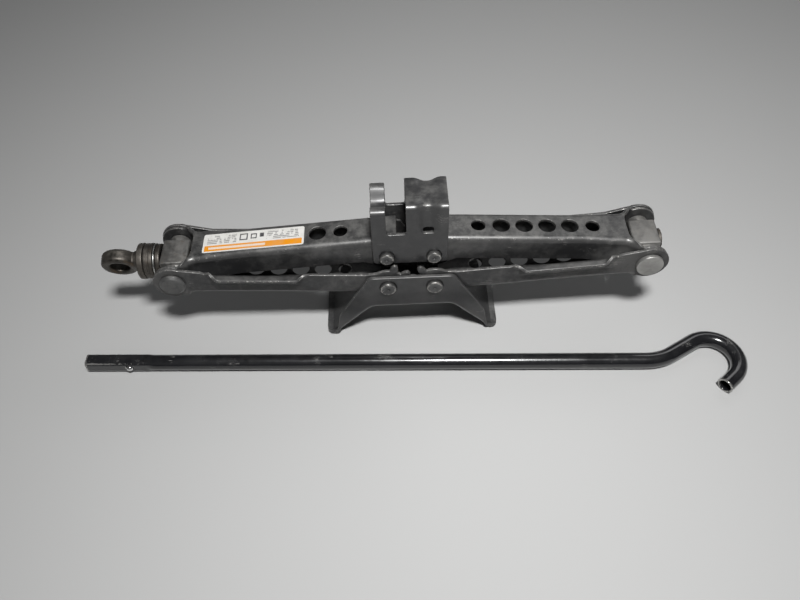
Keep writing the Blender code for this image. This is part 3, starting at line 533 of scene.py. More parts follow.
def arm_outline(arm, tooth_on_mesh_line, lipped):
    """Half of the arm's outline as (along, across), from the web's outer end to its inner one."""
    flat = arm.half - arm.fold
    bend = arm.fold * QUARTER
    fold_height = arm.fold - arm.depth
    web_end = ARM_LENGTH - arm.web_short

    def across(height):
        return flat + bend + height - fold_height

    if arm.depth < arm.ear:
        ear_start = -QUARTER - math.acos(arm.depth / arm.ear) + 0.10
    else:
        ear_start = math.radians(-116)
    ear = arc((ARM_LENGTH, 0), arm.ear, ear_start, EAR_TOP, 40)
    ear = [(u, across(h)) for u, h in ear]
    start = [(web_end, 0, 0), (web_end + 0.4 * MM, flat - 1 * MM, 5 * MM), (*ear[0], 0)]
    outline = rounded(start, 8, closed=False)[:-1] + ear
    if lipped:
        top = arm.rim - arm.thickness - LIP.radius - fold_height + LIP.radius * QUARTER + LIP.flat + EDGE
        plain = across(arm.rim)
        high = flat + bend + top
        outline += rounded([
            (*ear[-1], 0),
            (LIP.end + LIP.run + 3 * MM, across(arm.rim + 2.1 * MM), 3 * MM),
            (LIP.end + LIP.run + 0.5 * MM, across(arm.rim + 0.5 * MM), 1 * MM),
            (LIP.end + LIP.run - 3 * MM, high, 3 * MM),
            (LIP.start + LIP.run, high, 6 * MM),
            (LIP.start, plain, 6 * MM),
            (GEAR_RADIUS, plain, 0),
        ], 6, closed=False)[1:]
    else:
        outline += rounded([
            (*ear[-1], 0),
            (ARM_LENGTH - 1.7 * arm.ear, across(arm.rim), 8 * MM),
            (GEAR_RADIUS, across(arm.rim), 0),
        ], 6, closed=False)[1:]
    outline += [(u, across(h)) for u, h in gear_edge(tooth_on_mesh_line)]
    low = across(max(fold_height - 1.5 * MM, -9 * MM))
    outline += rounded([outline[-1] + (0,), (-WEB_TAIL, low, 1.5 * MM), (-WEB_TAIL, 0, 0)], 4, closed=False)[1:]
    return outline


def arm_wear_and_highlight(arm, u, s):
    """Where paint is worn thin and painted paler as a painted highlight: along the folds, and along the lip's
    bend.
    """
    flat, bend = arm.half - arm.fold, arm.fold * QUARTER
    inward = flat + bend - np.abs(s)
    worn = 0.55 * np.exp(-(((inward - bend * 0.5) / (bend * 0.42)) ** 2))
    if arm.has_lip:
        start = arm.rim - arm.thickness - LIP.radius - (arm.fold - arm.depth)
        on_lip = ease(u, LIP.start, LIP.start + LIP.run) * (1 - ease(u, LIP.end, LIP.end + LIP.run)) * (s < 0)
        # The lip's bend is marked worn so that it is painted paler: partly worn paint, partly a painted
        # highlight.
        worn = np.maximum(worn, 0.75 * on_lip * ease(-inward, start, start + 2 * MM))
    return worn


def pressed_arm(name, arm, place, tooth_on_mesh_line, spacing):
    rear = arm_outline(arm, tooth_on_mesh_line, False)
    front = arm_outline(arm, tooth_on_mesh_line, arm.has_lip)
    full = rear[:-1] + [(u, -s) for u, s in reversed(front)][:-1]
    outline = inset(spaced(full, spacing), EDGE)
    flat, bend = arm.half - arm.fold, arm.fold * QUARTER
    fold_height = arm.fold - arm.depth
    centre = flat + bend - fold_height
    holes = []
    for i in range(HOLES.count):
        radius = HOLES.small if i in (0, HOLES.count - 1) else HOLES.large
        holes.append(arc((HOLES.first + i * HOLES.pitch, 0), radius, 0, 2 * math.pi, 40)[:-1])
    for way in (-1, 1):
        holes.append(arc((0, way * centre), arm.inner_hole, 0, 2 * math.pi, 28)[:-1])
        holes.append(arc((ARM_LENGTH, way * centre), OUTER_HOLE, 0, 2 * math.pi, 28)[:-1])
    holes = [inset(hole, EDGE, hole=True) for hole in holes]
    across = list(np.linspace(0, flat, max(3, int(flat / spacing)), endpoint=False))
    across += list(flat + bend * np.arange(7) / 6)
    top = flat + bend + 34 * MM
    if arm.has_lip:
        start = flat + bend + arm.rim - arm.thickness - LIP.radius - fold_height
        across += list(np.linspace(flat + bend, start, 8)[1:])
        across += list(start + LIP.radius * QUARTER * np.arange(1, 5) / 4)
        across += list(np.arange(start + LIP.radius * QUARTER + 0.9 * MM, top, 1.3 * MM))
    else:
        across += list(np.arange(flat + bend + spacing, top, spacing))
    across = sorted({round(s, 7) for s in across} | {round(-s, 7) for s in across})
    grid = [(u, s) for u in np.arange(-22 * MM, ARM_LENGTH + 16 * MM, spacing) for s in across]
    points, faces = flat_mesh(outline, holes, grid, 0.45 * spacing)
    surface = arm_place(arm, place)
    normals = surface_normals(surface, points, ((0.07, 0.003), -place[2]))
    worn = arm_wear_and_highlight(arm, points[:, 0], points[:, 1])
    placed = surface(points[:, 0], points[:, 1])
    return new_object(name, *thicken(placed, normals, faces, arm.thickness, EDGE, worn))


# Pressed brackets -------------------------------------------------------------------------------------------

SADDLE = SimpleNamespace(
    half=17.7 * MM, thickness=2.9 * MM, fold=4.8 * MM, below=7.1 * MM, above=50.4 * MM, length=28.5 * MM,
    corner=3.5 * MM, notch=(-17.5 * MM, -2.7 * MM), notch_floor=23.5 * MM, post_drop=3.8 * MM, valley=8.5 * MM,
    bead=(9.6 * MM, 18.0 * MM), bead_floor=27.2 * MM, slot=2.8 * MM, bead_depth=3.4 * MM, head=5.4 * MM,
    head_height=3.3 * MM,
)
BASE = SimpleNamespace(
    half=28.4 * MM, thickness=3 * MM, fold=4.2 * MM, rise=10.2 * MM, top_half=33.2 * MM, foot=70.5 * MM,
    foot_flat=6 * MM, arch=33.7 * MM, slope=math.radians(45.8), corner=6 * MM, arch_radius=10 * MM,
    head=6.1 * MM, head_height=2.75 * MM,
)
RIVET_SHANK = 4 * MM
RECESS = SimpleNamespace(margin=0.6 * MM, depth=0.7 * MM, edge=0.3 * MM)


def recess(x, z, centres, radius):
    """How far a plate is struck in round its rivets."""
    sunk = np.zeros_like(x)
    for centre in centres:
        away = np.hypot(x - centre[0], z - centre[1])
        wall = radius + RECESS.margin
        sunk = np.maximum(sunk, RECESS.depth * (1 - ease(away, wall - RECESS.edge, wall + RECESS.edge)))
    return sunk


def ring_points(centres, radius):
    """Mesh points close round the wall of each recess, where the plate bends most."""
    points = []
    wall = radius + RECESS.margin
    for x, z in centres:
        for steps in (-1.6, -0.6, 0.2, 1.1):
            points += arc((x, z), wall + steps * RECESS.edge, 0, 2 * math.pi, 40)[:-1]
    return points


def saddle_shape(spacing):
    """Points, normals, faces and wear of the saddle's outer surface."""
    form = SADDLE
    pivot_z = SADDLE_LEFT.z
    middle_x, middle_y = MIDDLE.x, MIDDLE.y
    flat, bend = form.half - form.fold, form.fold * QUARTER
    pad_top = pivot_z + form.above
    post_top = pad_top - form.post_drop
    floor = pivot_z + form.notch_floor
    bottom = pivot_z - form.below
    fold_z = post_top - form.fold
    at_floor = flat + bend + fold_z - floor
    pad_stretch = (pad_top - form.fold - floor) / (fold_z - floor)
    split = sum(form.notch) / 2
    rivets = [(-GEAR_RADIUS, pivot_z), (GEAR_RADIUS, pivot_z)]

    def across(z, pad=True):
        if z <= floor:
            return at_floor + floor - z
        return at_floor - (z - floor) / (pad_stretch if pad else 1)

    def surface(x, s):
        x, s = np.asarray(x, float), np.asarray(s, float)
        side, a = np.where(s < 0, -1.0, 1.0), np.abs(s)
        pad = x > split
        top = np.where(pad, pad_top, post_top)
        stretch = np.where(pad, pad_stretch, 1.0)
        inward = flat + bend - a
        angle = np.clip(inward, 0, bend) / form.fold
        y = form.half - form.fold * (1 - np.cos(angle)) - np.maximum(inward - bend, 0)
        z = top - form.fold + form.fold * np.sin(angle)
        down = np.maximum(-inward, 0)
        high = np.minimum(down, at_floor - flat - bend)
        z = z - high * stretch - np.maximum(down - high, 0)
        valley = np.where(pad, 0, form.valley) * (1 + np.cos(math.pi * np.clip(y / flat, -1, 1))) / 2
        z = z - np.where(a < flat, valley, 0)
        low, high = form.bead
        bead_x = ease(x, low - 6 * MM, low + 3.6 * MM) * (1 - ease(x, high - 3.6 * MM, high + 6 * MM))
        rise = ease(z, pivot_z + form.bead_floor - form.slot, pivot_z + form.bead_floor)
        fade = 1 - ease(inward, bend * 0.6, bend + 11 * MM)
        sunk = form.bead_depth * bead_x * rise * fade
        y = y - sunk
        z = z - 1.5 * MM * bead_x * ease(inward, 0, bend) * fade
        y = y - recess(x, z, rivets, form.head) * (inward < 0)
        return np.stack([middle_x + x, middle_y + side * y, z], axis=-1)

    notch = form.notch
    outline = []
    for way in (1, -1):
        corners = [
            (form.length, way * 0.0, 0),
            (form.length, way * across(bottom), form.corner),
            (-form.length, way * across(bottom), form.corner),
            (-form.length, way * 0.0, 0),
        ]
        path = rounded(corners, 8, closed=False)
        outline += (path if way > 0 else path[::-1])[:-1]
    holes = [rounded([
        (notch[0], at_floor, 1.8 * MM), (notch[1], at_floor, 1.8 * MM),
        (notch[1], -at_floor, 1.8 * MM), (notch[0], -at_floor, 1.8 * MM),
    ], 5)]
    for way in (-1, 1):
        low, high = across(pivot_z + form.bead_floor - form.slot), across(pivot_z + form.bead_floor)
        holes.append(rounded([
            (form.bead[0] + 0.2 * MM, way * low, 0.6 * MM), (form.bead[1] - 0.2 * MM, way * low, 0.6 * MM),
            (form.bead[1] - 0.2 * MM, way * high, 0.6 * MM), (form.bead[0] + 0.2 * MM, way * high, 0.6 * MM),
        ], 3))
    holes = [inset(spaced(hole, spacing), EDGE, hole=True) for hole in holes]
    outline = inset(spaced(outline, spacing), EDGE)
    lines = list(np.linspace(0, flat, 10, endpoint=False)) + list(flat + bend * np.arange(9) / 8)
    lines += list(np.arange(flat + bend + spacing, across(bottom), spacing))
    lines = sorted({round(v, 7) for v in lines} | {round(-v, 7) for v in lines})
    grid = [(x, s) for x in np.arange(-form.length + 0.5 * spacing, form.length, spacing * 0.8) for s in lines]
    grid = np.array(grid)
    wall = form.head + RECESS.margin + 2.2 * RECESS.edge
    rings = []
    for way in (-1, 1):
        centres = [(x, way * across(z)) for x, z in rivets]
        for centre in centres:
            grid = grid[np.hypot(*(grid - np.array(centre)).T) > wall]
        rings += ring_points(centres, form.head)
    grid = np.vstack([grid, rings])
    points, faces = flat_mesh(outline, holes, grid, 0.4 * spacing)
    normals = surface_normals(surface, points, ((0.022, 0.0), (0, 0, 1)))
    inward = flat + bend - np.abs(points[:, 1])
    # Wear along the folds, which the finishes also paint paler as a painted highlight.
    worn = 0.6 * np.exp(-(((inward - bend * 0.5) / (bend * 0.45)) ** 2))
    return surface(points[:, 0], points[:, 1]), normals, faces, worn


def base_line(steps):
    """The outside of the base's web, as (x, z, normal x, normal z) from the left foot's end to the right's."""
    form = BASE
    foot_start = form.foot - form.foot_flat
    arch_x = foot_start - form.arch / math.tan(form.slope)
    half = rounded([
        (form.foot - EDGE, 0, 0), (foot_start, 0, 5 * MM), (arch_x, form.arch, form.arch_radius),
        (0, form.arch, 0),
    ], steps, closed=False)
    half = spaced(half, 2.5 * MM, closed=False)
    line = [(-x, z) for x, z in half] + list(reversed(half))[1:]
    line = np.array(line)
    along = np.gradient(line, axis=0)
    along /= np.linalg.norm(along, axis=1, keepdims=True)
    return line, np.stack([-along[:, 1], along[:, 0]], axis=1)


FOOT_ROUND = 7 * MM


def base_shape(spacing):
    """Points, normals, faces and wear of the base's outer surface: two flat plates, and the folded web."""
    form = BASE
    line, inward = base_line(8)
    count = len(line)
    steps = 7
    columns = []
    for k in range(steps + 1):
        angle = QUARTER * k / steps
        c, s = math.cos(angle), math.sin(angle)
        # Wear along the folds, which the finishes also paint paler as a painted highlight.
        wear = 0.55 * math.sin(2 * angle)
        columns.append((form.half - form.fold * (1 - c), form.fold * (1 - s), c, -s, wear))
    inner = form.half - form.fold
    web = [(y, 0.0, 0.0, -1.0, 0.0) for y in np.linspace(inner, -inner, 12)[1:-1]]
    row = columns + web + [(-y, lift, -ny, nz, w) for y, lift, ny, nz, w in reversed(columns)]
    points, normals, worn = [], [], []
    for i in range(count):
        for y, lift, ny, nz, w in row:
            x, z = line[i] + inward[i] * lift
            points.append((MIDDLE.x + x, MIDDLE.y + y, z))
            flat = inward[i] * nz
            normals.append((flat[0], ny, flat[1]))
            worn.append(w)
    width = len(row)
    faces = []
    for i in range(count - 1):
        for k in range(width - 1):
            a, c = i * width + k, (i + 1) * width + k
            faces += [(a, a + 1, c + 1), (a, c + 1, c)]
    top = BASE_LEFT.z + form.rise
    rivets = [(-GEAR_RADIUS, BASE_LEFT.z), (GEAR_RADIUS, BASE_LEFT.z)]
    fold_line = line + inward * form.fold
    foot_top = fold_line[-1]
    rim = rounded([
        (foot_top[0], foot_top[1], 0),
        (form.top_half, top, form.corner),
        (-form.top_half, top, form.corner),
        (-foot_top[0], foot_top[1], 0),
    ], 8, closed=False)
    rim = np.array(spaced(rim, spacing, closed=False))
    moved = rim.copy()
    along = np.gradient(rim, axis=0)
    along /= np.linalg.norm(along, axis=1, keepdims=True)
    moved += np.stack([-along[:, 1], along[:, 0]], axis=1) * EDGE
    outline = [tuple(p) for p in fold_line] + [tuple(p) for p in moved[1:-1]]
    step = spacing * 1.3
    grid = np.array([(x, z) for x in np.arange(-70 * MM, 70 * MM, step) for z in np.arange(0, top, step)])
    wall = form.head + RECESS.margin + 2.2 * RECESS.edge
    for centre in rivets:
        grid = grid[np.hypot(*(grid - np.array(centre)).T) > wall]
    grid = np.vstack([grid, ring_points(rivets, form.head)])
    plate, plate_faces = flat_mesh(outline, [], grid, 0.5 * spacing)
    sunk = recess(plate[:, 0], plate[:, 1], rivets, form.head)
    step = 1e-5
    slope = np.stack([
        recess(plate[:, 0] + step, plate[:, 1], rivets, form.head) - sunk,
        recess(plate[:, 0], plate[:, 1] + step, rivets, form.head) - sunk,
    ], axis=1) / step
    shared = {tuple(np.round(fold_line[i], 8)): i for i in range(count)}
    for way, column in ((1, 0), (-1, width - 1)):
        index = []
        for (x, z), depth, (dx, dz) in zip(plate, sunk, slope):
            match = shared.get((round(x, 8), round(z, 8)))
            if match is not None:
                index.append(match * width + column)
                continue
            index.append(len(points))
            points.append((MIDDLE.x + x, MIDDLE.y + way * (form.half - depth), z))
            normal = Vector((dx, way, dz)).normalized()
            normals.append(tuple(normal))
            worn.append(0.0)
        for a, c, d in plate_faces:
            faces.append((index[a], index[c], index[d]) if way < 0 else (index[a], index[d], index[c]))
    points, normals, faces = np.array(points), np.array(normals), np.array(faces)
    turned = np.cross(points[faces[:, 1]] - points[faces[:, 0]], points[faces[:, 2]] - points[faces[:, 0]])
    wrong = (turned * normals[faces].sum(axis=1)).sum(axis=1) < 0
    faces[wrong] = faces[wrong][:, ::-1]
    near = np.clip(FOOT_ROUND - (form.half - np.abs(points[:, 1] - MIDDLE.y)), 0, FOOT_ROUND)
    pull = FOOT_ROUND - np.sqrt(FOOT_ROUND ** 2 - near ** 2)
    from_middle = points[:, 0] - MIDDLE.x
    pull *= 1 - ease(abs(line[0][0]) - np.abs(from_middle), 0, 14 * MM)
    points[:, 0] -= np.sign(from_middle) * pull
    return points, normals, faces, np.array(worn)


# Materials --------------------------------------------------------------------------------------------------


class Tree:
    """A short way to write a node tree."""

    def __init__(self, tree):
        self.tree = tree

    def node(self, kind, inputs=None, **settings):
        made = self.tree.nodes.new(kind)
        for key, value in settings.items():
            setattr(made, key, value)
        for key, value in (inputs or {}).items():
            self.feed(made.inputs[key], value)
        return made

    def feed(self, socket, value):
        if isinstance(value, bpy.types.NodeSocket):
            self.tree.links.new(value, socket)
        elif hasattr(value, "__len__") and socket.type == "RGBA" and len(value) == 3:
            socket.default_value = (*value, 1)
        else:
            socket.default_value = value

    def math(self, operation, a, b=0.0, clamp=False):
        made = self.node("ShaderNodeMath", {0: a, 1: b}, operation=operation)
        made.use_clamp = clamp
        return made.outputs[0]

    def noise(self, vector, scale, detail=4.0, roughness=0.55, distortion=0.0):
        inputs = {"Vector": vector, "Scale": scale, "Detail": detail, "Roughness": roughness}
        inputs["Distortion"] = distortion
        return self.node("ShaderNodeTexNoise", inputs).outputs["Fac"]

    def ramp(self, value, low, high):
        inputs = {"Value": value, "From Min": low, "From Max": high}
        made = self.node("ShaderNodeMapRange", inputs, interpolation_type="SMOOTHSTEP")
        return made.outputs["Result"]

    def mix(self, factor, a, b):
        made = self.node("ShaderNodeMix", data_type="RGBA")
        self.feed(made.inputs[0], factor)
        self.feed(made.inputs[6], a)
        self.feed(made.inputs[7], b)
        return made.outputs[2]

    def span(self, factor, a, b):
        made = self.node("ShaderNodeMix", data_type="FLOAT")
        for index, value in ((0, factor), (2, a), (3, b)):
            self.feed(made.inputs[index], value)
        return made.outputs[0]


def group(name, inputs, build):
    """A shader node group. inputs are (name, kind, value), and build(work, entry) gives its outputs as
    {name: (kind, socket)}."""
    tree = bpy.data.node_groups.new(name, "ShaderNodeTree")
    for label, kind, value in inputs:
        socket = tree.interface.new_socket(label, in_out="INPUT", socket_type=kind)
        if value is not None:
            socket.default_value = value
    work = Tree(tree)
    entry = work.node("NodeGroupInput")
    made = build(work, entry)
    for label, (kind, _) in made.items():
        tree.interface.new_socket(label, in_out="OUTPUT", socket_type=kind)
    leave = work.node("NodeGroupOutput")
    for label, (_, socket) in made.items():
        tree.links.new(socket, leave.inputs[label])
    return tree


FLOAT, VECTOR, COLOUR = "NodeSocketFloat", "NodeSocketVector", "NodeSocketColor"


def build_groups():
    """The effects that the finishes share."""

    def mottle(work, entry):
        vector = entry.outputs["Vector"]
        size = entry.outputs["Size"]
        broad = work.noise(vector, work.math("MULTIPLY", size, 22), 5, 0.6, 0.4)
        fine = work.noise(vector, work.math("MULTIPLY", size, 160), 4, 0.65)
        blend = work.math("ADD", work.math("MULTIPLY", broad, 0.65), work.math("MULTIPLY", fine, 0.35))
        return {"Mask": (FLOAT, work.ramp(blend, 0.40, 0.62))}

    def edge_wear(work, entry):
        worn = work.node("ShaderNodeAttribute", attribute_name="worn").outputs["Fac"]
        chips = work.noise(entry.outputs["Vector"], entry.outputs["Scale"], 6, 0.7)
        level = work.math("ADD", worn, work.math("MULTIPLY", work.math("SUBTRACT", chips, 0.5), 1.4))
        low = work.math("SUBTRACT", 1.15, entry.outputs["Amount"])
        high = work.math("ADD", low, 0.16)
        made = work.node("ShaderNodeMapRange", {"Value": level}, interpolation_type="SMOOTHSTEP")
        work.feed(made.inputs["From Min"], low)
        work.feed(made.inputs["From Max"], high)
        # Sheen: where the worn mask is high the finishes paint the surface paler, partly for thin paint and
        # partly as a painted highlight on folds, rims and the lip.
        sheen = work.math("MULTIPLY", work.ramp(worn, 0.05, 0.8), entry.outputs["Amount"], clamp=True)
        return {"Mask": (FLOAT, made.outputs["Result"]), "Rubbed": (FLOAT, sheen)}

    def scratches(work, entry):
        found = None
        for angle, squeeze in ((0.5, 34), (2.1, 27)):
            turned = work.node("ShaderNodeMapping", {"Vector": entry.outputs["Vector"]})
            turned.inputs["Rotation"].default_value = (0.3, angle, angle)
            turned.inputs["Scale"].default_value = (1, squeeze, squeeze)
            lines = work.noise(turned.outputs[0], entry.outputs["Scale"], 2, 0.5)
            away = work.math("ABSOLUTE", work.math("SUBTRACT", lines, 0.5))
            line = work.math("SUBTRACT", 1, work.ramp(away, 0.002, 0.014))
            found = line if found is None else work.math("MAXIMUM", found, line)
        where = work.ramp(work.noise(entry.outputs["Vector"], 60, 3, 0.6), 0.60, 0.68)
        share = work.math("MULTIPLY", where, entry.outputs["Amount"])
        return {"Mask": (FLOAT, work.math("MULTIPLY", found, share, clamp=True))}

    def dust(work, entry):
        up = work.node("ShaderNodeSeparateXYZ")
        normal = work.node("ShaderNodeTexCoord").outputs["Normal"]
        work.feed(up.inputs[0], normal)
        level = work.ramp(up.outputs["Z"], 0.55, 0.98)
        cloud = work.ramp(work.noise(entry.outputs["Vector"], 90, 6, 0.75), 0.38, 0.68)
        made = work.math("MULTIPLY", level, work.math("MULTIPLY", cloud, entry.outputs["Amount"]), clamp=True)
        return {"Mask": (FLOAT, made)}

    def grain(work, entry):
        skin = work.noise(entry.outputs["Vector"], entry.outputs["Scale"], 3, 0.5)
        pits = work.noise(entry.outputs["Vector"], work.math("MULTIPLY", entry.outputs["Scale"], 0.22), 2, 0.5)
        pit = work.math("MULTIPLY", work.ramp(pits, 0.24, 0.36), 0.5)
        return {"Height": (FLOAT, work.math("ADD", work.math("MULTIPLY", skin, 0.5), pit))}

    vector = ("Vector", VECTOR, None)
    return {
        "mottle": group("Mottled tone", [vector, ("Size", FLOAT, 1.0)], mottle),
        "wear": group("Edge wear", [vector, ("Scale", FLOAT, 400.0), ("Amount", FLOAT, 0.5)], edge_wear),
        "scratches": group(
            "Fine scratches", [vector, ("Scale", FLOAT, 30.0), ("Amount", FLOAT, 1.0)], scratches),
        "dust": group("Settled dust", [vector, ("Amount", FLOAT, 0.5)], dust),
        "grain": group("Surface grain", [vector, ("Scale", FLOAT, 2500.0)], grain),
    }


GROUPS = {}
MATERIALS = {}


def place_group(work, name, **values):
    made = work.node("ShaderNodeGroup")
    made.node_tree = GROUPS[name]
    for key, value in values.items():
        work.feed(made.inputs[key.capitalize()], value)
    return made.outputs


def start_material(name):
    material = bpy.data.materials.new(name)
    material.use_nodes = True
    work = Tree(material.node_tree)
    shader = material.node_tree.nodes["Principled BSDF"]
    vector = work.node("ShaderNodeTexCoord").outputs["Object"]
    MATERIALS[name] = material
    return work, shader, vector


def bump(work, shader, height, strength, distance):
    made = work.node("ShaderNodeBump", {"Height": height, "Strength": strength, "Distance": distance})
    work.feed(shader.inputs["Normal"], made.outputs[0])


def worn_paint(name, dark, pale, bare, rough=0.42, wear=0.45, dusty=0.35, scratch=0.5, coat=0.25, size=1.0,
               mottled=0.5, grain_scale=2600.0, metal=0.35, speckle=0.0):
    """Enamel over steel: mottled, worn thin on its folds and painted paler there as wear and as a painted
    highlight, chipped on its edges, dusty where it looks up.
    """
    work, shader, vector = start_material(name)
    patches = place_group(work, "mottle", vector=vector, size=size)["Mask"]
    wear_and_highlight_masks = place_group(work, "wear", vector=vector, scale=420.0, amount=wear)
    lines = place_group(work, "scratches", vector=vector, scale=26.0, amount=scratch)["Mask"]
    dirt = place_group(work, "dust", vector=vector, amount=dusty)["Mask"]
    colour = work.mix(work.math("MULTIPLY", patches, mottled), dark, pale)
    # Painted highlight: worn folds, rims and the lip's bend are painted paler, for thin paint and for the light
    # they catch.
    rubbed_and_highlight_tone = tuple(min(1.0, c * 1.5) for c in pale)
    colour = work.mix(work.math("MULTIPLY", wear_and_highlight_masks["Rubbed"], 0.8, clamp=True), colour, rubbed_and_highlight_tone)
    colour = work.mix(dirt, colour, (0.30, 0.295, 0.28))
    if speckle:
        spots = work.ramp(work.noise(vector, 700, 3, 0.6), 0.60, 0.72)
        colour = work.mix(work.math("MULTIPLY", spots, speckle), colour, (0.02, 0.02, 0.02))
    colour = work.mix(wear_and_highlight_masks["Mask"], colour, bare)
    colour = work.mix(lines, colour, bare)
    work.feed(shader.inputs["Base Color"], colour)
    bare_mask = work.math("MAXIMUM", wear_and_highlight_masks["Mask"], lines)
    level = work.span(patches, rough - 0.05, rough + 0.12)
    level = work.math("SUBTRACT", level, work.math("MULTIPLY", wear_and_highlight_masks["Rubbed"], 0.14))
    level = work.math("ADD", level, work.math("MULTIPLY", dirt, 0.25), clamp=True)
    work.feed(shader.inputs["Roughness"], level)
    work.feed(shader.inputs["Metallic"], work.span(bare_mask, metal, 0.9))
    shader.inputs["Coat Roughness"].default_value = 0.2
    work.feed(shader.inputs["Coat Weight"], work.math("MULTIPLY", work.math("SUBTRACT", 1, bare_mask), coat))
    height = place_group(work, "grain", vector=vector, scale=grain_scale)["Height"]
    height = work.math("SUBTRACT", height, work.math("MULTIPLY", bare_mask, 0.6))
    bump(work, shader, height, 0.22, 0.00012)
    return MATERIALS[name]


def raw_steel(name, dark, pale, rough=0.45, metal=0.85, dusty=0.25, grain_scale=2200.0, size=1.6, wear=0.3,
              rust=0.0):
    """Bare or phosphated steel with a mottled skin."""
    work, shader, vector = start_material(name)
    patches = place_group(work, "mottle", vector=vector, size=size)["Mask"]
    wear_and_highlight_masks = place_group(work, "wear", vector=vector, scale=500.0, amount=wear)
    dirt = place_group(work, "dust", vector=vector, amount=dusty)["Mask"]
    colour = work.mix(patches, dark, pale)
    if rust:
        stain = work.ramp(work.noise(vector, 130, 6, 0.7, 0.6), 0.54, 0.68)
        colour = work.mix(work.math("MULTIPLY", stain, rust), colour, (0.12, 0.075, 0.04))
    colour = work.mix(dirt, colour, (0.28, 0.26, 0.23))
    # Painted highlight: worn edges and chamfers are painted paler, for worn metal and for the light they catch.
    colour = work.mix(wear_and_highlight_masks["Rubbed"], colour, tuple(min(1.0, c * 1.5) for c in pale))
    work.feed(shader.inputs["Base Color"], colour)
    level = work.span(patches, rough - 0.07, rough + 0.1)
    rougher, duller = work.math("MULTIPLY", dirt, 0.3), work.math("MULTIPLY", dirt, 0.6)
    work.feed(shader.inputs["Roughness"], work.math("ADD", level, rougher, clamp=True))
    work.feed(shader.inputs["Metallic"], work.math("SUBTRACT", metal, duller, clamp=True))
    height = place_group(work, "grain", vector=vector, scale=grain_scale)["Height"]
    bump(work, shader, height, 0.3, 0.00012)
    return MATERIALS[name]


def gloss_enamel(name, colour, chip):
    """Thick gloss enamel with a few chips and fine dust."""
    work, shader, vector = start_material(name)
    patches = place_group(work, "mottle", vector=vector, size=1.2)["Mask"]
    masks = place_group(work, "wear", vector=vector, scale=650.0, amount=0.50)
    dirt = place_group(work, "dust", vector=vector, amount=0.05)["Mask"]
    lines = place_group(work, "scratches", vector=vector, scale=22.0, amount=0.5)["Mask"]
    tone = work.mix(patches, colour, tuple(c * 1.5 for c in colour))
    tone = work.mix(dirt, tone, (0.22, 0.22, 0.21))
    tone = work.mix(work.math("MAXIMUM", masks["Mask"], lines), tone, chip)
    work.feed(shader.inputs["Base Color"], tone)
    level = work.math("ADD", work.span(patches, 0.16, 0.26), work.math("MULTIPLY", dirt, 0.5), clamp=True)
    work.feed(shader.inputs["Roughness"], level)
    work.feed(shader.inputs["Metallic"], work.math("MULTIPLY", masks["Mask"], 0.8))
    shader.inputs["Coat Roughness"].default_value = 0.08
    coat_lost = work.math("MULTIPLY", masks["Mask"], 0.7)
    work.feed(shader.inputs["Coat Weight"], work.math("SUBTRACT", 0.7, coat_lost))
    height = work.noise(vector, 420, 2, 0.5)
    bump(work, shader, work.math("SUBTRACT", height, work.math("MULTIPLY", masks["Mask"], 0.8)), 0.12, 0.0002)
    return MATERIALS[name]


def polished(name):
    work, shader, vector = start_material(name)
    haze = work.noise(vector, 900, 3, 0.6)
    work.feed(shader.inputs["Base Color"], work.mix(haze, (0.62, 0.62, 0.62), (0.85, 0.85, 0.85)))
    work.feed(shader.inputs["Roughness"], work.span(haze, 0.06, 0.2))
    shader.inputs["Metallic"].default_value = 1.0
    return MATERIALS[name]


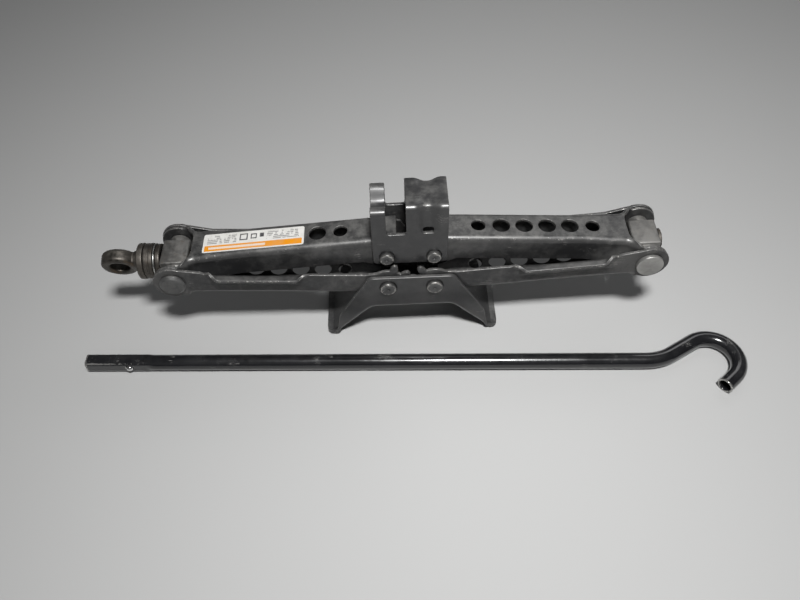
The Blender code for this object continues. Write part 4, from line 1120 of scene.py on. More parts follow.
def printed_label(name, low, high, stripe, ink):
    """A generic sticker: a coloured stripe along its front, plain blocks and bars, and no lettering.
    low and high are its corners in the row frame."""
    work, shader, vector = start_material(name)
    size = Vector(high) - Vector(low)
    mapped = work.node("ShaderNodeMapping", {"Vector": vector}, vector_type="TEXTURE")
    mapped.inputs["Location"].default_value = low
    mapped.inputs["Scale"].default_value = (size.x, size.y, 1)
    split = work.node("ShaderNodeSeparateXYZ")
    work.feed(split.inputs[0], mapped.outputs[0])
    x, y = split.outputs["X"], split.outputs["Y"]

    def band(value, start, end):
        above = work.math("GREATER_THAN", value, start)
        return work.math("MULTIPLY", above, work.math("LESS_THAN", value, end))

    def block(x0, x1, y0, y1):
        return work.math("MULTIPLY", band(x, x0, x1), band(y, y0, y1))

    paper = work.mix(work.noise(vector, 300, 4, 0.6), (0.62, 0.61, 0.58), (0.76, 0.75, 0.72))
    colour = work.mix(block(0.02, 0.98, 0.06, 0.36), paper, stripe)
    marks = block(0.36, 0.44, 0.52, 0.88)
    for x0, x1, y0, y1 in ((0.47, 0.53, 0.56, 0.84), (0.56, 0.60, 0.62, 0.84)):
        marks = work.math("MAXIMUM", marks, block(x0, x1, y0, y1))
    for x0, x1, y0, y1 in ((0.372, 0.428, 0.58, 0.82), (0.48, 0.52, 0.62, 0.78)):
        marks = work.math("SUBTRACT", marks, block(x0, x1, y0, y1), clamp=True)
    dashes = work.node("ShaderNodeTexNoise", {"Scale": 1.0, "Detail": 0.0}, noise_dimensions="2D")
    stretched = work.node("ShaderNodeMapping", {"Vector": mapped.outputs[0]})
    stretched.inputs["Scale"].default_value = (34, 3, 1)
    work.feed(dashes.inputs["Vector"], stretched.outputs[0])
    rows = work.math("FRACT", work.math("MULTIPLY", y, 11.0))
    row = work.math("LESS_THAN", rows, 0.5)
    texts = work.math("MAXIMUM", block(0.04, 0.33, 0.46, 0.92), block(0.63, 0.96, 0.46, 0.92))
    fine = work.math("MULTIPLY", texts, row)
    fine = work.math("MULTIPLY", fine, work.math("GREATER_THAN", dashes.outputs["Fac"], 0.47))
    marks = work.math("MAXIMUM", marks, work.math("MULTIPLY", fine, 0.75))
    colour = work.mix(marks, colour, ink)
    pale_bar = block(0.06, 0.62, 0.15, 0.27)
    colour = work.mix(work.math("MULTIPLY", pale_bar, 0.75), colour, (0.75, 0.74, 0.70))
    scuffs = place_group(work, "scratches", vector=vector, scale=34.0, amount=0.8)["Mask"]
    dirt = place_group(work, "dust", vector=vector, amount=0.22)["Mask"]
    colour = work.mix(scuffs, colour, (0.45, 0.43, 0.40))
    colour = work.mix(dirt, colour, (0.42, 0.40, 0.36))
    work.feed(shader.inputs["Base Color"], colour)
    work.feed(shader.inputs["Roughness"], work.span(dirt, 0.38, 0.6))
    bump(work, shader, work.noise(vector, 900, 3, 0.5), 0.08, 0.0001)
    return MATERIALS[name]


# Settings ---------------------------------------------------------------------------------------------------

COLOUR_PROPERTY = {"subtype": "COLOR", "size": 3, "min": 0.0, "max": 1.0}


class JACK_PG_sheet(bpy.types.PropertyGroup):
    spacing: bpy.props.FloatProperty(
        name="Mesh spacing", description="Distance between points on the pressed plates", default=2.2 * MM,
        min=0.8 * MM, max=6 * MM, unit="LENGTH", precision=4)
    arm_dark: bpy.props.FloatVectorProperty(
        name="Arm paint", description="Darker tone of the arms' paint", default=(0.032, 0.032, 0.033),
        **COLOUR_PROPERTY)
    arm_pale: bpy.props.FloatVectorProperty(
        name="Arm paint, worn", description="Paler tone of the arms' paint", default=(0.105, 0.103, 0.100),
        **COLOUR_PROPERTY)
    bracket_dark: bpy.props.FloatVectorProperty(
        name="Bracket paint", description="Darker tone of the base's and saddle's paint",
        default=(0.040, 0.040, 0.041), **COLOUR_PROPERTY)
    bracket_pale: bpy.props.FloatVectorProperty(
        name="Bracket paint, worn", description="Paler tone of the base's and saddle's paint",
        default=(0.092, 0.091, 0.089), **COLOUR_PROPERTY)
    bare: bpy.props.FloatVectorProperty(
        name="Bare steel", description="Steel that shows where the paint is gone", default=(0.42, 0.41, 0.39),
        **COLOUR_PROPERTY)


class JACK_PG_drive(bpy.types.PropertyGroup):
    thread_pitch: bpy.props.FloatProperty(
        name="Thread pitch", description="Advance of the screw's thread in one turn", default=3 * MM,
        min=1 * MM, max=8 * MM, unit="LENGTH", precision=4)
    thread_depth: bpy.props.FloatProperty(
        name="Thread depth", description="Height of the thread over its core", default=1.1 * MM,
        min=0.2 * MM, max=3 * MM, unit="LENGTH", precision=4)
    steel: bpy.props.FloatVectorProperty(
        name="Phosphated steel", description="Tone of the eye, the screw and the thrust rings",
        default=(0.075, 0.068, 0.060), **COLOUR_PROPERTY)
    block: bpy.props.FloatVectorProperty(
        name="Block steel", description="Tone of the trunnion blocks", default=(0.24, 0.235, 0.225),
        **COLOUR_PROPERTY)


class JACK_PG_handle(bpy.types.PropertyGroup):
    segments: bpy.props.IntProperty(
        name="Segments", description="Points round the tube", default=64, min=16, max=128)
    enamel: bpy.props.FloatVectorProperty(
        name="Enamel", description="Tone of the handle's gloss enamel", default=(0.006, 0.006, 0.007),
        **COLOUR_PROPERTY)


class JACK_PG_stage(bpy.types.PropertyGroup):
    lens: bpy.props.FloatProperty(
        name="Lens", description="Focal length of the camera in millimetres", default=34.52, min=10, max=200)
    floor_tone: bpy.props.FloatVectorProperty(
        name="Floor", description="Tone of the floor", default=(0.46, 0.46, 0.455), **COLOUR_PROPERTY)
    key_power: bpy.props.FloatProperty(
        name="Key light", description="Power of the main light", default=5.0, min=0, unit="POWER")
    rim_power: bpy.props.FloatProperty(
        name="Rim light", description="Power of the light behind the jack", default=1.3, min=0, unit="POWER")
    fill_power: bpy.props.FloatProperty(
        name="Fill light", description="Power of the broad light over the front", default=0.25, min=0,
        unit="POWER")
    sky: bpy.props.FloatProperty(
        name="Sky", description="Strength of the even light from all round", default=0.07, min=0, max=5)


# Builders ---------------------------------------------------------------------------------------------------


def build_finishes(scene):
    """Every finish, from the settings' tones."""
    GROUPS.update(build_groups())
    sheet, drive, handle = scene.jack_sheet, scene.jack_drive, scene.jack_handle
    bare = tuple(sheet.bare)
    worn_paint("arm_enamel", tuple(sheet.arm_dark), tuple(sheet.arm_pale), bare, rough=0.44, wear=0.52,
               dusty=0.35, mottled=0.75)
    worn_paint("lower_arm_enamel", tuple(sheet.arm_dark), tuple(sheet.arm_pale), bare, rough=0.46, wear=0.48,
               dusty=0.25, mottled=0.8, size=1.3, speckle=0.25)
    worn_paint("bracket_enamel", tuple(sheet.bracket_dark), tuple(sheet.bracket_pale), bare, rough=0.38,
               wear=0.42, dusty=0.3, mottled=0.45, size=0.8)
    worn_paint("rivet_enamel", tuple(sheet.bracket_dark), tuple(sheet.bracket_pale), bare, rough=0.38, wear=0.5,
               dusty=0.2, size=2.0)
    steel, block = tuple(drive.steel), tuple(drive.block)
    raw_steel("phosphate", tuple(c * 0.7 for c in steel), tuple(c * 1.6 for c in steel), rust=0.5)
    block_dark, block_pale = tuple(c * 0.7 for c in block), tuple(c * 1.15 for c in block)
    raw_steel("block_steel", block_dark, block_pale, rough=0.5, metal=0.7)
    raw_steel("dark_block_steel", tuple(c * 0.5 for c in block), tuple(c * 0.95 for c in block), rough=0.5,
              metal=0.7, rust=0.35)
    raw_steel("zinc", (0.42, 0.42, 0.40), (0.62, 0.62, 0.60), rough=0.3, metal=0.95, dusty=0.1)
    raw_steel("rivet_pale", (0.26, 0.255, 0.245), (0.40, 0.395, 0.38), rough=0.42, metal=0.7)
    raw_steel("rivet_dark", (0.055, 0.055, 0.055), (0.13, 0.13, 0.128), rough=0.4, metal=0.6)
    raw_steel("spring_steel", (0.10, 0.10, 0.12), (0.22, 0.22, 0.25), rough=0.3, metal=1.0)
    gloss_enamel("handle_gloss", tuple(handle.enamel), (0.45, 0.44, 0.42))
    polished("polished_ball")


def build_arms(scene):
    """The two wide lower channels and the two narrower upper ones."""
    spacing = scene.jack_sheet.spacing
    for side in ("left", "right"):
        to_left = side == "left"
        origin = BASE_LEFT if to_left else BASE_RIGHT
        arm = pressed_arm(f"lower_channel_{side}", LOWER, arm_frame(origin, to_left, False), to_left, spacing)
        hand_over(arm, f"lower_{side}", MATERIALS["lower_arm_enamel"], "arm_paint", f"lower_arm_{side}")
        origin = SADDLE_LEFT if to_left else SADDLE_RIGHT
        arm = pressed_arm(f"upper_channel_{side}", UPPER, arm_frame(origin, to_left, True), to_left, spacing)
        hand_over(arm, f"upper_{side}", MATERIALS["arm_enamel"], "arm_paint", f"upper_arm_{side}")


def build_brackets(scene):
    """The saddle and the base."""
    spacing = scene.jack_sheet.spacing
    points, normals, faces, worn = saddle_shape(spacing)
    saddle = new_object("saddle_plate", *thicken(points, normals, faces, SADDLE.thickness, EDGE, worn))
    hand_over(saddle, "saddle", MATERIALS["bracket_enamel"], "bracket_paint", "saddle_bracket")
    points, normals, faces, worn = base_shape(spacing)
    base = new_object("base_plate", *thicken(points, normals, faces, BASE.thickness, EDGE, worn))
    hand_over(base, "base", MATERIALS["bracket_enamel"], "bracket_paint", "base_bracket")


def geometry_tree(name, inputs):
    """A geometry tree with its own group nodes: (work, entry's sockets, finish). finish gives the tree and the
    identifiers of its inputs by their names."""
    tree = bpy.data.node_groups.new(name, "GeometryNodeTree")
    tree.interface.new_socket("Geometry", in_out="INPUT", socket_type="NodeSocketGeometry")
    keys = {}
    for label, kind in inputs:
        keys[label] = tree.interface.new_socket(label, in_out="INPUT", socket_type=kind).identifier
    tree.interface.new_socket("Geometry", in_out="OUTPUT", socket_type="NodeSocketGeometry")
    work = Tree(tree)
    entry, leave = work.node("NodeGroupInput").outputs, work.node("NodeGroupOutput")

    def finish(shape):
        """Realizes the shape, paints it and puts it out."""
        real = work.node("GeometryNodeRealizeInstances", {0: shape})
        paint = work.node("GeometryNodeSetMaterial", {
            "Geometry": real.outputs[0], "Material": entry["Material"]})
        work.feed(leave.inputs[0], paint.outputs[0])
        return tree, keys

    return work, entry, finish


def rivet_tree():
    """Instances a turned head on each point of its input, turned by the point's normal, as one mesh."""
    work, entry, finish = geometry_tree("Rivet heads", [
        ("Head", "NodeSocketObject"), ("Material", "NodeSocketMaterial")])
    head = work.node("GeometryNodeObjectInfo", {"Object": entry["Head"]})
    facing = work.node("GeometryNodeInputNamedAttribute", data_type="FLOAT_VECTOR")
    work.feed(facing.inputs["Name"], "facing")
    align = work.node("FunctionNodeAlignRotationToVector", {"Vector": facing.outputs["Attribute"]}, axis="Z")
    spread = work.node("GeometryNodeInstanceOnPoints", {
        "Points": entry["Geometry"], "Instance": head.outputs["Geometry"], "Rotation": align.outputs[0]})
    return finish(spread.outputs[0])


def set_input(modifier, keys, **values):
    for label, value in values.items():
        modifier[keys[label]] = value


def rivet_heads(name, head, places, material):
    """One mesh of a head at each (point, facing) place."""
    tree, keys = rivet_tree()
    mesh = bpy.data.meshes.new(name)
    mesh.from_pydata([tuple(point) for point, _ in places], [], [])
    facing = mesh.attributes.new("facing", "FLOAT_VECTOR", "POINT")
    facing.data.foreach_set("vector", [c for _, way in places for c in way])
    obj = in_scene(name, mesh)
    modifier = obj.modifiers.new("Rivet heads", "NODES")
    modifier.node_group = tree
    set_input(modifier, keys, Head=head, Material=material)
    finished(obj)
    return obj


def build_rivets(scene):
    """The saddle's and base's rivets, their heads set by a geometry tree and their shanks between."""
    for body, plate, place_left, place_right in (
        ("base", BASE, BASE_LEFT, BASE_RIGHT), ("saddle", SADDLE, SADDLE_LEFT, SADDLE_RIGHT),
    ):
        radius, height, shank, sink = plate.head, plate.head_height, RIVET_SHANK, RECESS.depth
        profile = eased_profile([
            (shank, -sink - 2 * MM, 0), (shank, -sink, 0), (radius, -sink, 0), (radius, height, 0.75 * MM),
            (0.24 * radius, height + 0.1 * MM, 0.25 * MM), (0.10 * radius, height - 0.75 * MM, 0.2 * MM),
            (0.0002, height - 0.8 * MM, 0),
        ], 4)
        # The head's rim is marked worn, which paints it paler: wear and a painted highlight.
        worn = [0.75 if abs(r - radius) < 1 * MM and a > height - 1 * MM else 0.1 for r, a in profile]
        head = lathe(f"{body}_head", profile, "Z", (0, 0, 0), 48, worn=worn)
        for side, centre in (("left", place_left), ("right", place_right)):
            places = [(centre + Vector((0, way * plate.half, 0)), (0, way, 0)) for way in (-1, 1)]
            heads = rivet_heads(f"{body}_pin_{side}", head, places, MATERIALS["rivet_enamel"])
            reach = plate.half - 1 * MM
            shaft = lathe("shank", [(shank, -reach), (shank, reach)], "Y", centre, 48, worn=[0, 0])
            merge(heads, shaft)
            hand_over(heads, body, MATERIALS["rivet_enamel"], "bracket_paint", f"{body}_rivet_{side}")
        bpy.data.objects.remove(head, do_unlink=True)


def merge(target, *others):
    """Adds the others' meshes to the target as they are."""
    bm = bmesh.new()
    for obj in (target, *others):
        bm.from_mesh(obj.data)
    bm.to_mesh(target.data)
    bm.free()
    for obj in others:
        bpy.data.objects.remove(obj, do_unlink=True)
    target.data.shade_smooth()
    target.data.set_sharp_from_angle(angle=math.radians(50))
    return target


BORE = 6.4 * MM
TRUNNION = SimpleNamespace(
    ear=25 * MM, shank=5.5 * MM, inner=11.3 * MM, left=9.9 * MM, right=10.2 * MM, height=3.8 * MM,
    body_half=12.8 * MM, boss=8.2 * MM, chamfer=0.9 * MM, corner=1.6 * MM,
)


def build_trunnions(scene):
    """The blocks at the outer corners and their headed pins."""
    for side, centre, radius in (
        ("left", TRUNNION_LEFT, TRUNNION.left), ("right", TRUNNION_RIGHT, TRUNNION.right),
    ):
        for end, way in (("front", -1), ("rear", 1)):
            face = TRUNNION.ear + TRUNNION.height
            seat = TRUNNION.ear + 0.3 * MM
            if side == "left":
                rim = [(radius, face - 2.0 * MM, 0.3 * MM), (radius - 1.9 * MM, face - 0.2 * MM, 0.4 * MM),
                       (0.0002, face, 0)]
            else:
                rim = [(radius, face - 0.3 * MM, 0.8 * MM), (0.0002, face, 0)]
            corners = [(TRUNNION.shank, TRUNNION.inner, 0), (TRUNNION.shank, seat, 0), (radius, seat, 0.3 * MM)]
            profile = eased_profile(corners + rim, 4)
            # The pin's chamfer and face edge are marked worn, which paints them paler: wear and a painted
            # highlight.
            worn = [0.7 if r > radius - 2.2 * MM and a > seat + 0.5 * MM else 0.05 for r, a in profile]
            profile = [(r, way * a) for r, a in profile]
            pin = lathe(f"trunnion_pin_{side}_{end}", profile, "Y", centre, 72, worn=worn)
            tone = "rivet_dark" if side == "left" else "rivet_pale"
            hand_over(pin, f"trunnion_{side}", MATERIALS[tone], "rivet_steel", f"trunnion_rivet_{side}_{end}")
    blocks = (("left", TRUNNION_LEFT, "trunnion_block_left", "dark_block_steel"),
              ("right", TRUNNION_RIGHT, "trunnion_nut_right", "block_steel"))
    for side, centre, node, tone in blocks:
        low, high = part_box(node)
        half_x, half_z = (high.x - low.x) / 2, (high.z - low.z) / 2
        half = (half_x, TRUNNION.body_half, half_z)
        block = rounded_box(f"trunnion_body_{side}", centre, half, TRUNNION.corner)
        boss_end = (high.y - low.y) / 2
        boss = [(TRUNNION.boss, way * boss_end, 0.6 * MM) for way in (-1, 1)]
        profile = rounded([(0.0005, -boss_end, 0), *boss, (0.0005, boss_end, 0)], 3, closed=False)
        boolean(block, lathe("boss", profile, "Y", centre, 64), "UNION")
        past = 4 * MM
        reach = half_x + past
        chamfer = TRUNNION.chamfer
        wide = BORE + past + chamfer
        hole = [(wide, -reach), (BORE, -half_x + chamfer), (BORE, half_x - chamfer), (wide, reach)]
        boolean(block, lathe("bore", hole, "X", centre, 64), "DIFFERENCE")
        edge_attribute(block)
        hand_over(block, f"trunnion_{side}", MATERIALS[tone], "block_steel", node)


def rounded_box(name, centre, half, radius):
    bm = bmesh.new()
    bmesh.ops.create_cube(bm, size=2)
    for vertex in bm.verts:
        vertex.co = Vector(centre) + Vector(c * h for c, h in zip(vertex.co, half))
    bmesh.ops.bevel(bm, geom=bm.edges[:], offset=radius, segments=4, profile=0.5, affect="EDGES")
    return in_scene(name, mesh_of(name, bm))


def edge_attribute(obj, angle=25, level=0.7):
    """Marks the points beside a bend sharper than the angle as worn, which the finishes paint paler as wear and
    as a painted highlight, and shades the rest smooth.
    """
    bm = bmesh.new()
    bm.from_mesh(obj.data)
    layer = bm.verts.layers.float.get("worn") or bm.verts.layers.float.new("worn")
    for edge in bm.edges:
        if len(edge.link_faces) == 2 and edge.calc_face_angle(0) > math.radians(angle):
            for vertex in edge.verts:
                vertex[layer] = level
    bm.to_mesh(obj.data)
    bm.free()
    obj.data.shade_smooth()
    obj.data.set_sharp_from_angle(angle=math.radians(40))


def thread_tree():
    """A trapezium of metal wound round the X axis."""
    sizes = ("Radius", "Pitch", "Length", "Width", "Depth")
    work, entry, finish = geometry_tree("Screw thread", [
        *((label, "NodeSocketFloat") for label in sizes), ("Material", "NodeSocketMaterial")])
    spiral = work.node("GeometryNodeCurveSpiral", {
        "Resolution": 28, "Rotations": work.math("DIVIDE", entry["Length"], entry["Pitch"]),
        "Start Radius": entry["Radius"], "End Radius": entry["Radius"], "Height": entry["Length"]})
    path = work.node("GeometryNodeSetCurveNormal", {"Curve": spiral.outputs[0]}, mode="Z_UP")
    section = work.node("GeometryNodeCurvePrimitiveQuadrilateral", mode="TRAPEZOID")
    crest = work.math("MULTIPLY", entry["Width"], THREAD_CREST)
    for label, value in (("Bottom Width", entry["Width"]), ("Top Width", crest), ("Height", entry["Depth"]),
                         ("Offset", 0.0)):
        work.feed(section.inputs[label], value)
    turned = work.node("GeometryNodeTransform", {"Geometry": section.outputs[0], "Rotation": (0, 0, -QUARTER)})
    sweep = work.node("GeometryNodeCurveToMesh", {
        "Curve": path.outputs[0], "Profile Curve": turned.outputs[0], "Fill Caps": True})
    laid = work.node("GeometryNodeTransform", {"Geometry": sweep.outputs[0], "Rotation": (0, QUARTER, 0)})
    return finish(laid.outputs[0])


THREAD_CREST = 0.45
EYE = SimpleNamespace(radius=14.2 * MM, hole=7.6 * MM, thickness=11.2 * MM, reach=16 * MM,
                      twist=math.radians(18), sides=32, squareness=0.72, voxel=0.45 * MM)


def forged_eye(face_x):
    """The eye and its neck as one softened forging, from the collar's face outwards along -X."""
    centre = Vector((face_x - EYE.reach, TRUNNION_LEFT.y, TRUNNION_LEFT.z))
    half = EYE.thickness / 2
    ring = lathe("eye_ring", rounded([
        (EYE.hole, -half, 2.2 * MM), (EYE.hole, half, 2.2 * MM), (EYE.radius, half, 2.8 * MM),
        (EYE.radius, -half, 2.8 * MM),
    ], 6), "Y", (0, 0, 0), 96, ring=True)
    stations = (
        (8.8 * MM, 5.6 * MM, 8.4 * MM), (12.0 * MM, 6.6 * MM, 8.2 * MM), (14.2 * MM, 8.2 * MM, 8.8 * MM),
        (EYE.reach, 9.8 * MM, 9.8 * MM),
    )
    sides = EYE.sides

    def bulged(value):
        return math.copysign(abs(value) ** EYE.squareness, value)

    points = []
    for x, half_y, half_z in stations:
        for k in range(sides):
            angle = 2 * math.pi * k / sides
            points.append((x, half_y * bulged(math.cos(angle)), half_z * bulged(math.sin(angle))))
    last = sides * (len(stations) - 1)
    faces = [tuple(reversed(range(sides))), tuple(range(last, last + sides))]
    for i in range(len(stations) - 1):
        faces += between_rings(i * sides, (i + 1) * sides, sides)
    neck = new_object("eye_neck", points, faces)
    face_outwards(neck.data)
    merge(ring, neck)
    enlarged = 1 / MM
    ring.data.transform(Matrix.Scale(enlarged, 4))
    remesh = ring.modifiers.new("Skin", "REMESH")
    remesh.mode = "VOXEL"
    remesh.voxel_size = EYE.voxel * enlarged
    soften = ring.modifiers.new("Forged", "SMOOTH")
    soften.factor = 0.5
    soften.iterations = 8
    finished(ring)
    place = Matrix.Translation(centre) @ Matrix.Rotation(EYE.twist, 4, "X")
    ring.data.transform(place @ Matrix.Scale(1 / enlarged, 4))
    ring.data.shade_smooth()
    return ring


SCREW_RADIUS = 6 * MM


def build_screw(scene):
    """The thrust rings, the screw with its thread and eye, and the stop at its end."""
    drive = scene.jack_drive
    rings = (("bearing_cup", "pressed_cup", "trunnion_left", "phosphate", "phosphate_steel"),
             ("bearing_washer", "race_washer", "screw", "zinc", "zinc_steel"),
             ("thrust_bearing", "bearing_shell", "screw", "phosphate", "phosphate_steel"),
             ("thrust_collar", "forged_collar", "screw", "phosphate", "phosphate_steel"))
    centre = TRUNNION_LEFT
    for node, name, body, tone, slot in rings:
        low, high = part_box(node)
        radius = (high.z - low.z) / 2
        start, end = low.x - centre.x, high.x - centre.x
        soft = min(1.0 * MM, (end - start) * 0.3)
        waist = []
        if name == "bearing_shell":
            middle = (start + end) / 2
            floor = radius - 0.35 * MM
            waist = [
                (radius, middle - 0.9 * MM, 0.2 * MM), (floor, middle - 0.5 * MM, 0.15 * MM),
                (floor, middle + 0.5 * MM, 0.15 * MM), (radius, middle + 0.9 * MM, 0.2 * MM),
            ]
        corners = [(BORE, start, 0), (radius, start, soft), *waist, (radius, end, soft), (BORE, end, 0)]
        profile = rounded(corners, 4)
        worn = [0.6 if r > radius - 1.2 * MM else 0.0 for r, _ in profile]
        piece = lathe(name, profile, "X", centre, 80, ring=True, worn=worn)
        hand_over(piece, body, MATERIALS[tone], slot, node)
    low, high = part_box("lead_screw")
    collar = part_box("thrust_collar")[0].x - 0.3 * MM
    radius = SCREW_RADIUS
    depth = drive.thread_depth
    core = radius - depth
    start = collar - 2 * MM - centre.x
    end = high.x - centre.x
    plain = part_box("trunnion_block_left")[1].x - centre.x + 4 * MM
    profile = eased_profile([
        (radius, start, 0), (radius, plain, 0.6 * MM), (core, plain + 1.2 * MM, 0), (core, end - 2 * MM, 0),
        (core - 0.3 * MM, end, 0.5 * MM),
    ], 3)
    shaft = lathe("screw_shaft", profile, "X", centre, 56)
    thread = in_scene("thread", bpy.data.meshes.new("thread"))
    tree, keys = thread_tree()
    modifier = thread.modifiers.new("Screw thread", "NODES")
    modifier.node_group = tree
    length = end - plain - 2.4 * MM
    set_input(modifier, keys, Radius=core + depth / 2 - 0.05 * MM, Pitch=drive.thread_pitch, Length=length,
              Width=drive.thread_pitch * 0.66, Depth=depth, Material=MATERIALS["phosphate"])
    finished(thread)
    thread.data.transform(Matrix.Translation(centre + Vector((plain + 1.2 * MM, 0, 0))))
    eye = forged_eye(collar)
    merge(eye, shaft, thread)
    eye.name = "screw_and_eye"
    hand_over(eye, "screw", MATERIALS["phosphate"], "phosphate_steel", "lead_screw")
    low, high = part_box("screw_stop")
    radius = (high.z - low.z) / 2
    start, end, bore = low.x - centre.x, high.x - centre.x, 5.2 * MM
    corners = [(bore, start, 0), (radius, start, 0.5 * MM), (radius, end, 0.5 * MM), (bore, end, 0)]
    stop = lathe("stop_washer", rounded(corners, 3), "X", centre, 64, ring=True)
    hand_over(stop, "screw", MATERIALS["phosphate"], "phosphate_steel", "screw_stop")


LABEL = SimpleNamespace(start=61.5 * MM, length=78.5 * MM, width=19.2 * MM, shift=-1 * MM, lift=0.1 * MM,
                        thickness=0.3 * MM, corner=1.6 * MM)


def build_label(scene):
    """A thin film on the left upper arm's web."""
    origin, along, rise = arm_frame(SADDLE_LEFT, True, True)
    level = -(UPPER.depth + LABEL.lift + LABEL.thickness)
    half = LABEL.width / 2
    end, front, back = LABEL.start + LABEL.length, LABEL.shift - half, LABEL.shift + half
    corners = ((LABEL.start, front), (end, front), (end, back), (LABEL.start, back))
    outline = rounded([(x, y, LABEL.corner) for x, y in corners], 5)

    def surface(u, y):
        u, y = np.asarray(u, float), np.asarray(y, float)
        return origin + u[..., None] * along + level * rise + y[..., None] * np.array([0, 1, 0])

    grid = [(u, y) for u in np.arange(LABEL.start, LABEL.start + LABEL.length, 3 * MM)
            for y in np.arange(-half, half, 3 * MM)]
    points, faces = flat_mesh(inset(spaced(outline, 3 * MM), 0.1 * MM), [], grid, 1 * MM)
    normals = surface_normals(surface, points, ((0.1, 0), -rise))
    placed = surface(points[:, 0], points[:, 1])
    unworn = np.zeros(len(points))
    label = new_object("film", *thicken(placed, normals, faces, LABEL.thickness, 0.1 * MM, unworn))
    low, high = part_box("label")
    tone = printed_label("label_print", low, high, (0.74, 0.27, 0.004), (0.05, 0.05, 0.055))
    hand_over(label, "upper_left", tone, "label_film", "label")


TUBE = SimpleNamespace(
    radius=6.32 * MM, wall=1.75 * MM, straight=447 * MM, sweep_radius=40 * MM, sweep=math.radians(32),
    link=22.1 * MM, hook_radius=21 * MM, hook=math.radians(170), tail=12.5 * MM, square=49 * MM, run=6 * MM,
    square_half=5.6 * MM, square_corner=6.7 * MM, heading=math.radians(-2.69),
)
BALL_PLACE = 35.6 * MM


def handle_start():
    """The start of the handle's centre line, from where the detent ball stands."""
    low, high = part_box("detent_ball")
    ball = (low + high) / 2
    heading = Vector((math.cos(TUBE.heading), math.sin(TUBE.heading), 0))
    side = Vector((-heading.y, heading.x, 0))
    depth = TUBE.square_half + 2.2 * MM - 2.8 * MM
    return Vector((ball.x, ball.y, ball.z)) - heading * BALL_PLACE + side * depth


def handle_route(step):
    """(place, heading, distance) along the centre line."""
    x, y, heading, distance = 0.0, 0.0, 0.0, 0.0
    yield x, y, heading, distance
    legs = ((TUBE.straight, 0), (TUBE.sweep_radius * TUBE.sweep, TUBE.sweep), (TUBE.link, 0),
            (TUBE.hook_radius * TUBE.hook, -TUBE.hook), (TUBE.tail, 0))
    for length, turn in legs:
        count = int(math.ceil(length / step))
        for _ in range(count):
            part, bend = length / count, turn / count
            x += part * math.cos(heading + bend / 2)
            y += part * math.sin(heading + bend / 2)
            heading += bend
            distance += part
            yield x, y, heading, distance


def build_handle(scene):
    """The bent tube with its square end, and the sprung ball in it."""
    segments = scene.jack_handle.segments
    start = handle_start()
    angles = (np.arange(segments) + 0.5) * 2 * math.pi / segments
    flats = np.maximum(np.abs(np.cos(angles)), np.abs(np.sin(angles)))
    squared = np.minimum(TUBE.square_corner, TUBE.square_half / flats)
    route = list(handle_route(2.0 * MM))
    total = route[-1][3]
    turn = Matrix.Rotation(TUBE.heading, 3, "Z")
    outer, inner = [], []
    bore = TUBE.radius - TUBE.wall
    for x, y, heading, distance in route:
        share = float(ease(distance, TUBE.square - 1 * MM, TUBE.square + TUBE.run))
        scallop = 0.35 * MM * math.exp(-((distance - TUBE.square - 1 * MM) / (2.2 * MM)) ** 2)
        radius = squared * (1 - share) + TUBE.radius * share - scallop * (flats > 0.86)
        centre = np.array(start + turn @ Vector((x, y, 0)))
        way = TUBE.heading + heading
        side = np.array([-math.sin(way), math.cos(way), 0])
        forward = np.array([math.cos(way), math.sin(way), 0])
        ring = np.cos(angles)[:, None] * side + np.sin(angles)[:, None] * np.array([0, 0, 1.0])
        at_end = distance < 1e-9 or abs(distance - total) < 1e-9
        if at_end:
            sign = 1 if distance < 1e-9 else -1
            rim = []
            for along, less in ((0.0, 0.6), (0.18, 0.18), (0.6, 0.0)):
                rim.append((centre + forward * sign * along * MM + ring * (radius - less * MM)[:, None], 0.9))
            mouth = [
                (centre + ring * (bore + 0.4 * MM), 0.6),
                (centre + forward * sign * 0.4 * MM + ring * bore, 0.2),
            ]
            outer += rim[::sign]
            inner += mouth[::sign]
            continue
        rub = 0.5 * float(1 - ease(distance, 0, TUBE.square + 8 * MM))
        outer.append((centre + ring * radius[:, None], rub))
        inner.append((centre + ring * bore, 0.0))
    rings = outer + inner[::-1]
    points = np.concatenate([r for r, _ in rings])
    corner = 0.45 * (flats < 0.80)
    wear = np.concatenate([np.full(segments, w) + (corner if 0 < w < 0.6 else 0) for _, w in rings])
    count = len(rings)
    faces = []
    for i in range(count):
        faces += between_rings(i * segments, (i + 1) % count * segments, segments)
    rod = new_object("crank_tube", points, faces, None, wear)
    face_outwards(rod.data)
    low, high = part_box("detent_ball")
    ball = (low + high) / 2
    heading = Vector((math.cos(TUBE.heading), math.sin(TUBE.heading), 0))
    profile = [(3.15 * MM, -6 * MM), (3.15 * MM, 0.1 * MM), (3.6 * MM, 0.6 * MM), (3.7 * MM, 6 * MM)]
    hole = lathe("ball_hole", profile, "Z", (0, 0, 0), 40)
    outward = Vector((heading.y, -heading.x, 0))
    hole.data.transform(Matrix.Translation(ball) @ outward.to_track_quat("Z", "Y").to_matrix().to_4x4())
    boolean(rod, hole, "DIFFERENCE")
    rod.data.shade_smooth()
    rod.data.set_sharp_from_angle(angle=math.radians(45))
    hand_over(rod, "handle", MATERIALS["handle_gloss"], "handle_enamel", "handle_rod")
    frame["nodes"]["detent_spring"].data.materials.clear()
    frame["nodes"]["detent_spring"].data.materials.append(MATERIALS["spring_steel"])
    radius = (high - low).x / 2
    bm = bmesh.new()
    bmesh.ops.create_icosphere(bm, subdivisions=4, radius=radius, matrix=Matrix.Translation(ball))
    sphere = in_scene("sprung_ball", mesh_of("sprung_ball", bm))
    sphere.data.shade_smooth()
    hand_over(sphere, "detent_ball", MATERIALS["polished_ball"], "polished_steel", "detent_ball")


# Stage ------------------------------------------------------------------------------------------------------

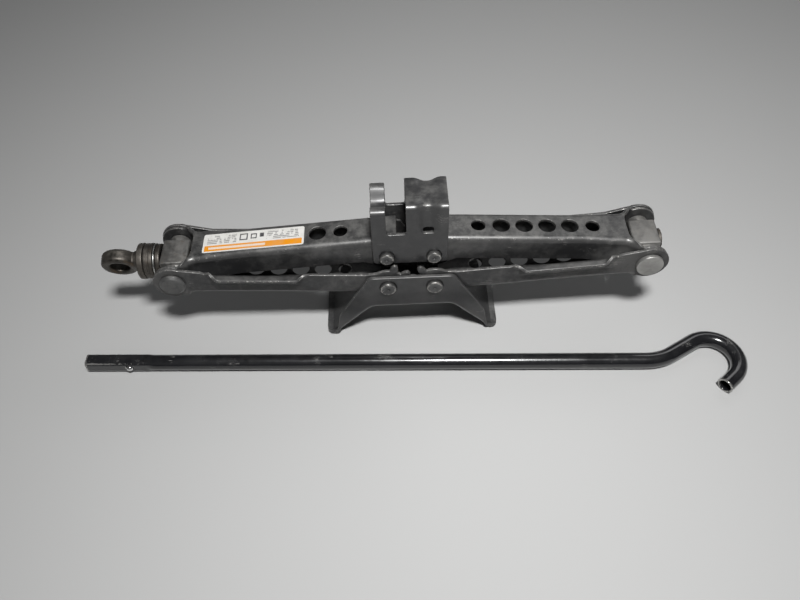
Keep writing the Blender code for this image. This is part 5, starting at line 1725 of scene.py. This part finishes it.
CAMERA_PLACE = (-0.008442, -0.377122, 0.511351)
CAMERA_TILT = math.radians(39.35)
CAMERA_TURN = -0.001
CAMERA_ROLL = -0.042
FLOOR_HALF = 6.0


def area_light(name, place, target, size, power, spread=math.pi):
    light = bpy.data.lights.new(name, "AREA")
    light.spread = spread
    light.shape = "RECTANGLE"
    light.size, light.size_y = size
    light.energy = power
    obj = bpy.data.objects.new(name, light)
    obj.location = place
    obj.rotation_mode = "QUATERNION"
    obj.rotation_quaternion = (Vector(target) - Vector(place)).to_track_quat("-Z", "Y")
    bpy.context.scene.collection.objects.link(obj)
    return obj


def build_stage(scene):
    """The camera, the floor, the sky and three lights."""
    stage = scene.jack_stage
    camera = bpy.data.cameras.new("camera")
    camera.lens = stage.lens
    camera.sensor_width = 36
    camera.clip_start = 0.01
    viewer = bpy.data.objects.new("camera", camera)
    turn = Matrix.Rotation(CAMERA_TURN, 4, "Z") @ Matrix.Rotation(CAMERA_TILT, 4, "X")
    viewer.matrix_world = Matrix.Translation(CAMERA_PLACE) @ turn @ Matrix.Rotation(CAMERA_ROLL, 4, "Z")
    scene.collection.objects.link(viewer)
    scene.camera = viewer

    work, shader, vector = start_material("floor_paper")
    tone = tuple(stage.floor_tone)
    soft = work.noise(vector, 2.5, 2, 0.5)
    colour = work.mix(soft, tuple(c * 0.97 for c in tone), tuple(c * 1.02 for c in tone))
    work.feed(shader.inputs["Base Color"], colour)
    shader.inputs["Roughness"].default_value = 0.75
    corners = ((-1, -1), (1, -1), (1, 1), (-1, 1))
    floor = new_object("floor", [(x * FLOOR_HALF, y * FLOOR_HALF, 0) for x, y in corners], [(0, 1, 2, 3)])
    floor.location.z = -0.0002
    floor.data.materials.append(MATERIALS["floor_paper"])

    world = bpy.data.worlds.new("sky")
    world.use_nodes = True
    background = world.node_tree.nodes["Background"]
    background.inputs["Color"].default_value = (0.95, 0.97, 1.0, 1)
    background.inputs["Strength"].default_value = stage.sky
    scene.world = world
    area_light("key", (0.09, -0.46, 1.20), (0.06, -0.04, 0), (0.20, 0.13), stage.key_power, math.radians(92))
    area_light("rim", (0.50, 0.88, 0.95), (0.08, 0, 0.06), (0.7, 0.35), stage.rim_power)
    area_light("fill", (-0.2, -1.1, 0.75), (0, 0, 0.05), (1.4, 0.7), stage.fill_power)
    scene.view_settings.view_transform = "Standard"


# Operators --------------------------------------------------------------------------------------------------


class JACK_OT_finishes(bpy.types.Operator):
    """Makes the shared effects and the finishes"""

    bl_idname = "jack.finishes"
    bl_label = "Finishes"

    def execute(self, context):
        build_finishes(context.scene)
        return {"FINISHED"}


class JACK_OT_arms(bpy.types.Operator):
    """Presses the four channel arms"""

    bl_idname = "jack.arms"
    bl_label = "Arms"

    def execute(self, context):
        build_arms(context.scene)
        return {"FINISHED"}


class JACK_OT_brackets(bpy.types.Operator):
    """Presses the base and the saddle"""

    bl_idname = "jack.brackets"
    bl_label = "Base and Saddle"

    def execute(self, context):
        build_brackets(context.scene)
        return {"FINISHED"}


class JACK_OT_rivets(bpy.types.Operator):
    """Sets the base's and the saddle's rivets"""

    bl_idname = "jack.rivets"
    bl_label = "Rivets"

    def execute(self, context):
        build_rivets(context.scene)
        return {"FINISHED"}


class JACK_OT_trunnions(bpy.types.Operator):
    """Makes the trunnion blocks and their pins"""

    bl_idname = "jack.trunnions"
    bl_label = "Trunnions"

    def execute(self, context):
        build_trunnions(context.scene)
        return {"FINISHED"}


class JACK_OT_screw(bpy.types.Operator):
    """Winds the screw, forges its eye and turns its thrust rings"""

    bl_idname = "jack.screw"
    bl_label = "Screw"

    def execute(self, context):
        build_screw(context.scene)
        return {"FINISHED"}


class JACK_OT_label(bpy.types.Operator):
    """Lays the plain label on the left upper arm"""

    bl_idname = "jack.label"
    bl_label = "Label"

    def execute(self, context):
        build_label(context.scene)
        return {"FINISHED"}


class JACK_OT_handle(bpy.types.Operator):
    """Bends the crank handle and fits its ball"""

    bl_idname = "jack.handle"
    bl_label = "Handle"

    def execute(self, context):
        build_handle(context.scene)
        return {"FINISHED"}


class JACK_OT_stage(bpy.types.Operator):
    """Sets the floor, the lights and the camera"""

    bl_idname = "jack.stage"
    bl_label = "Stage"

    def execute(self, context):
        build_stage(context.scene)
        return {"FINISHED"}


OPERATORS = (JACK_OT_finishes, JACK_OT_arms, JACK_OT_brackets, JACK_OT_rivets, JACK_OT_trunnions, JACK_OT_screw,
             JACK_OT_label, JACK_OT_handle, JACK_OT_stage)
SETTINGS = {"jack_sheet": JACK_PG_sheet, "jack_drive": JACK_PG_drive, "jack_handle": JACK_PG_handle,
            "jack_stage": JACK_PG_stage}


class JACK_PT_panel(bpy.types.Panel):
    """Lists the pieces and their settings"""

    bl_idname = "JACK_PT_panel"
    bl_label = "Car Jack"
    bl_space_type = "VIEW_3D"
    bl_region_type = "UI"
    bl_category = "Car Jack"

    def draw(self, context):
        for operator in OPERATORS:
            self.layout.operator(operator.bl_idname)
        for name, settings in SETTINGS.items():
            column = self.layout.column()
            for key in settings.__annotations__:
                column.prop(getattr(context.scene, name), key)


CLASSES = (*SETTINGS.values(), *OPERATORS, JACK_PT_panel)


def register():
    for made in CLASSES:
        bpy.utils.register_class(made)
    for name, settings in SETTINGS.items():
        setattr(bpy.types.Scene, name, bpy.props.PointerProperty(type=settings))


def unregister():
    for name in SETTINGS:
        delattr(bpy.types.Scene, name)
    for made in reversed(CLASSES):
        bpy.utils.unregister_class(made)


def main():
    register()
    for operator in OPERATORS:
        group_name, name = operator.bl_idname.split(".")
        getattr(getattr(bpy.ops, group_name), name)()


if __name__ == "__main__":
    main()
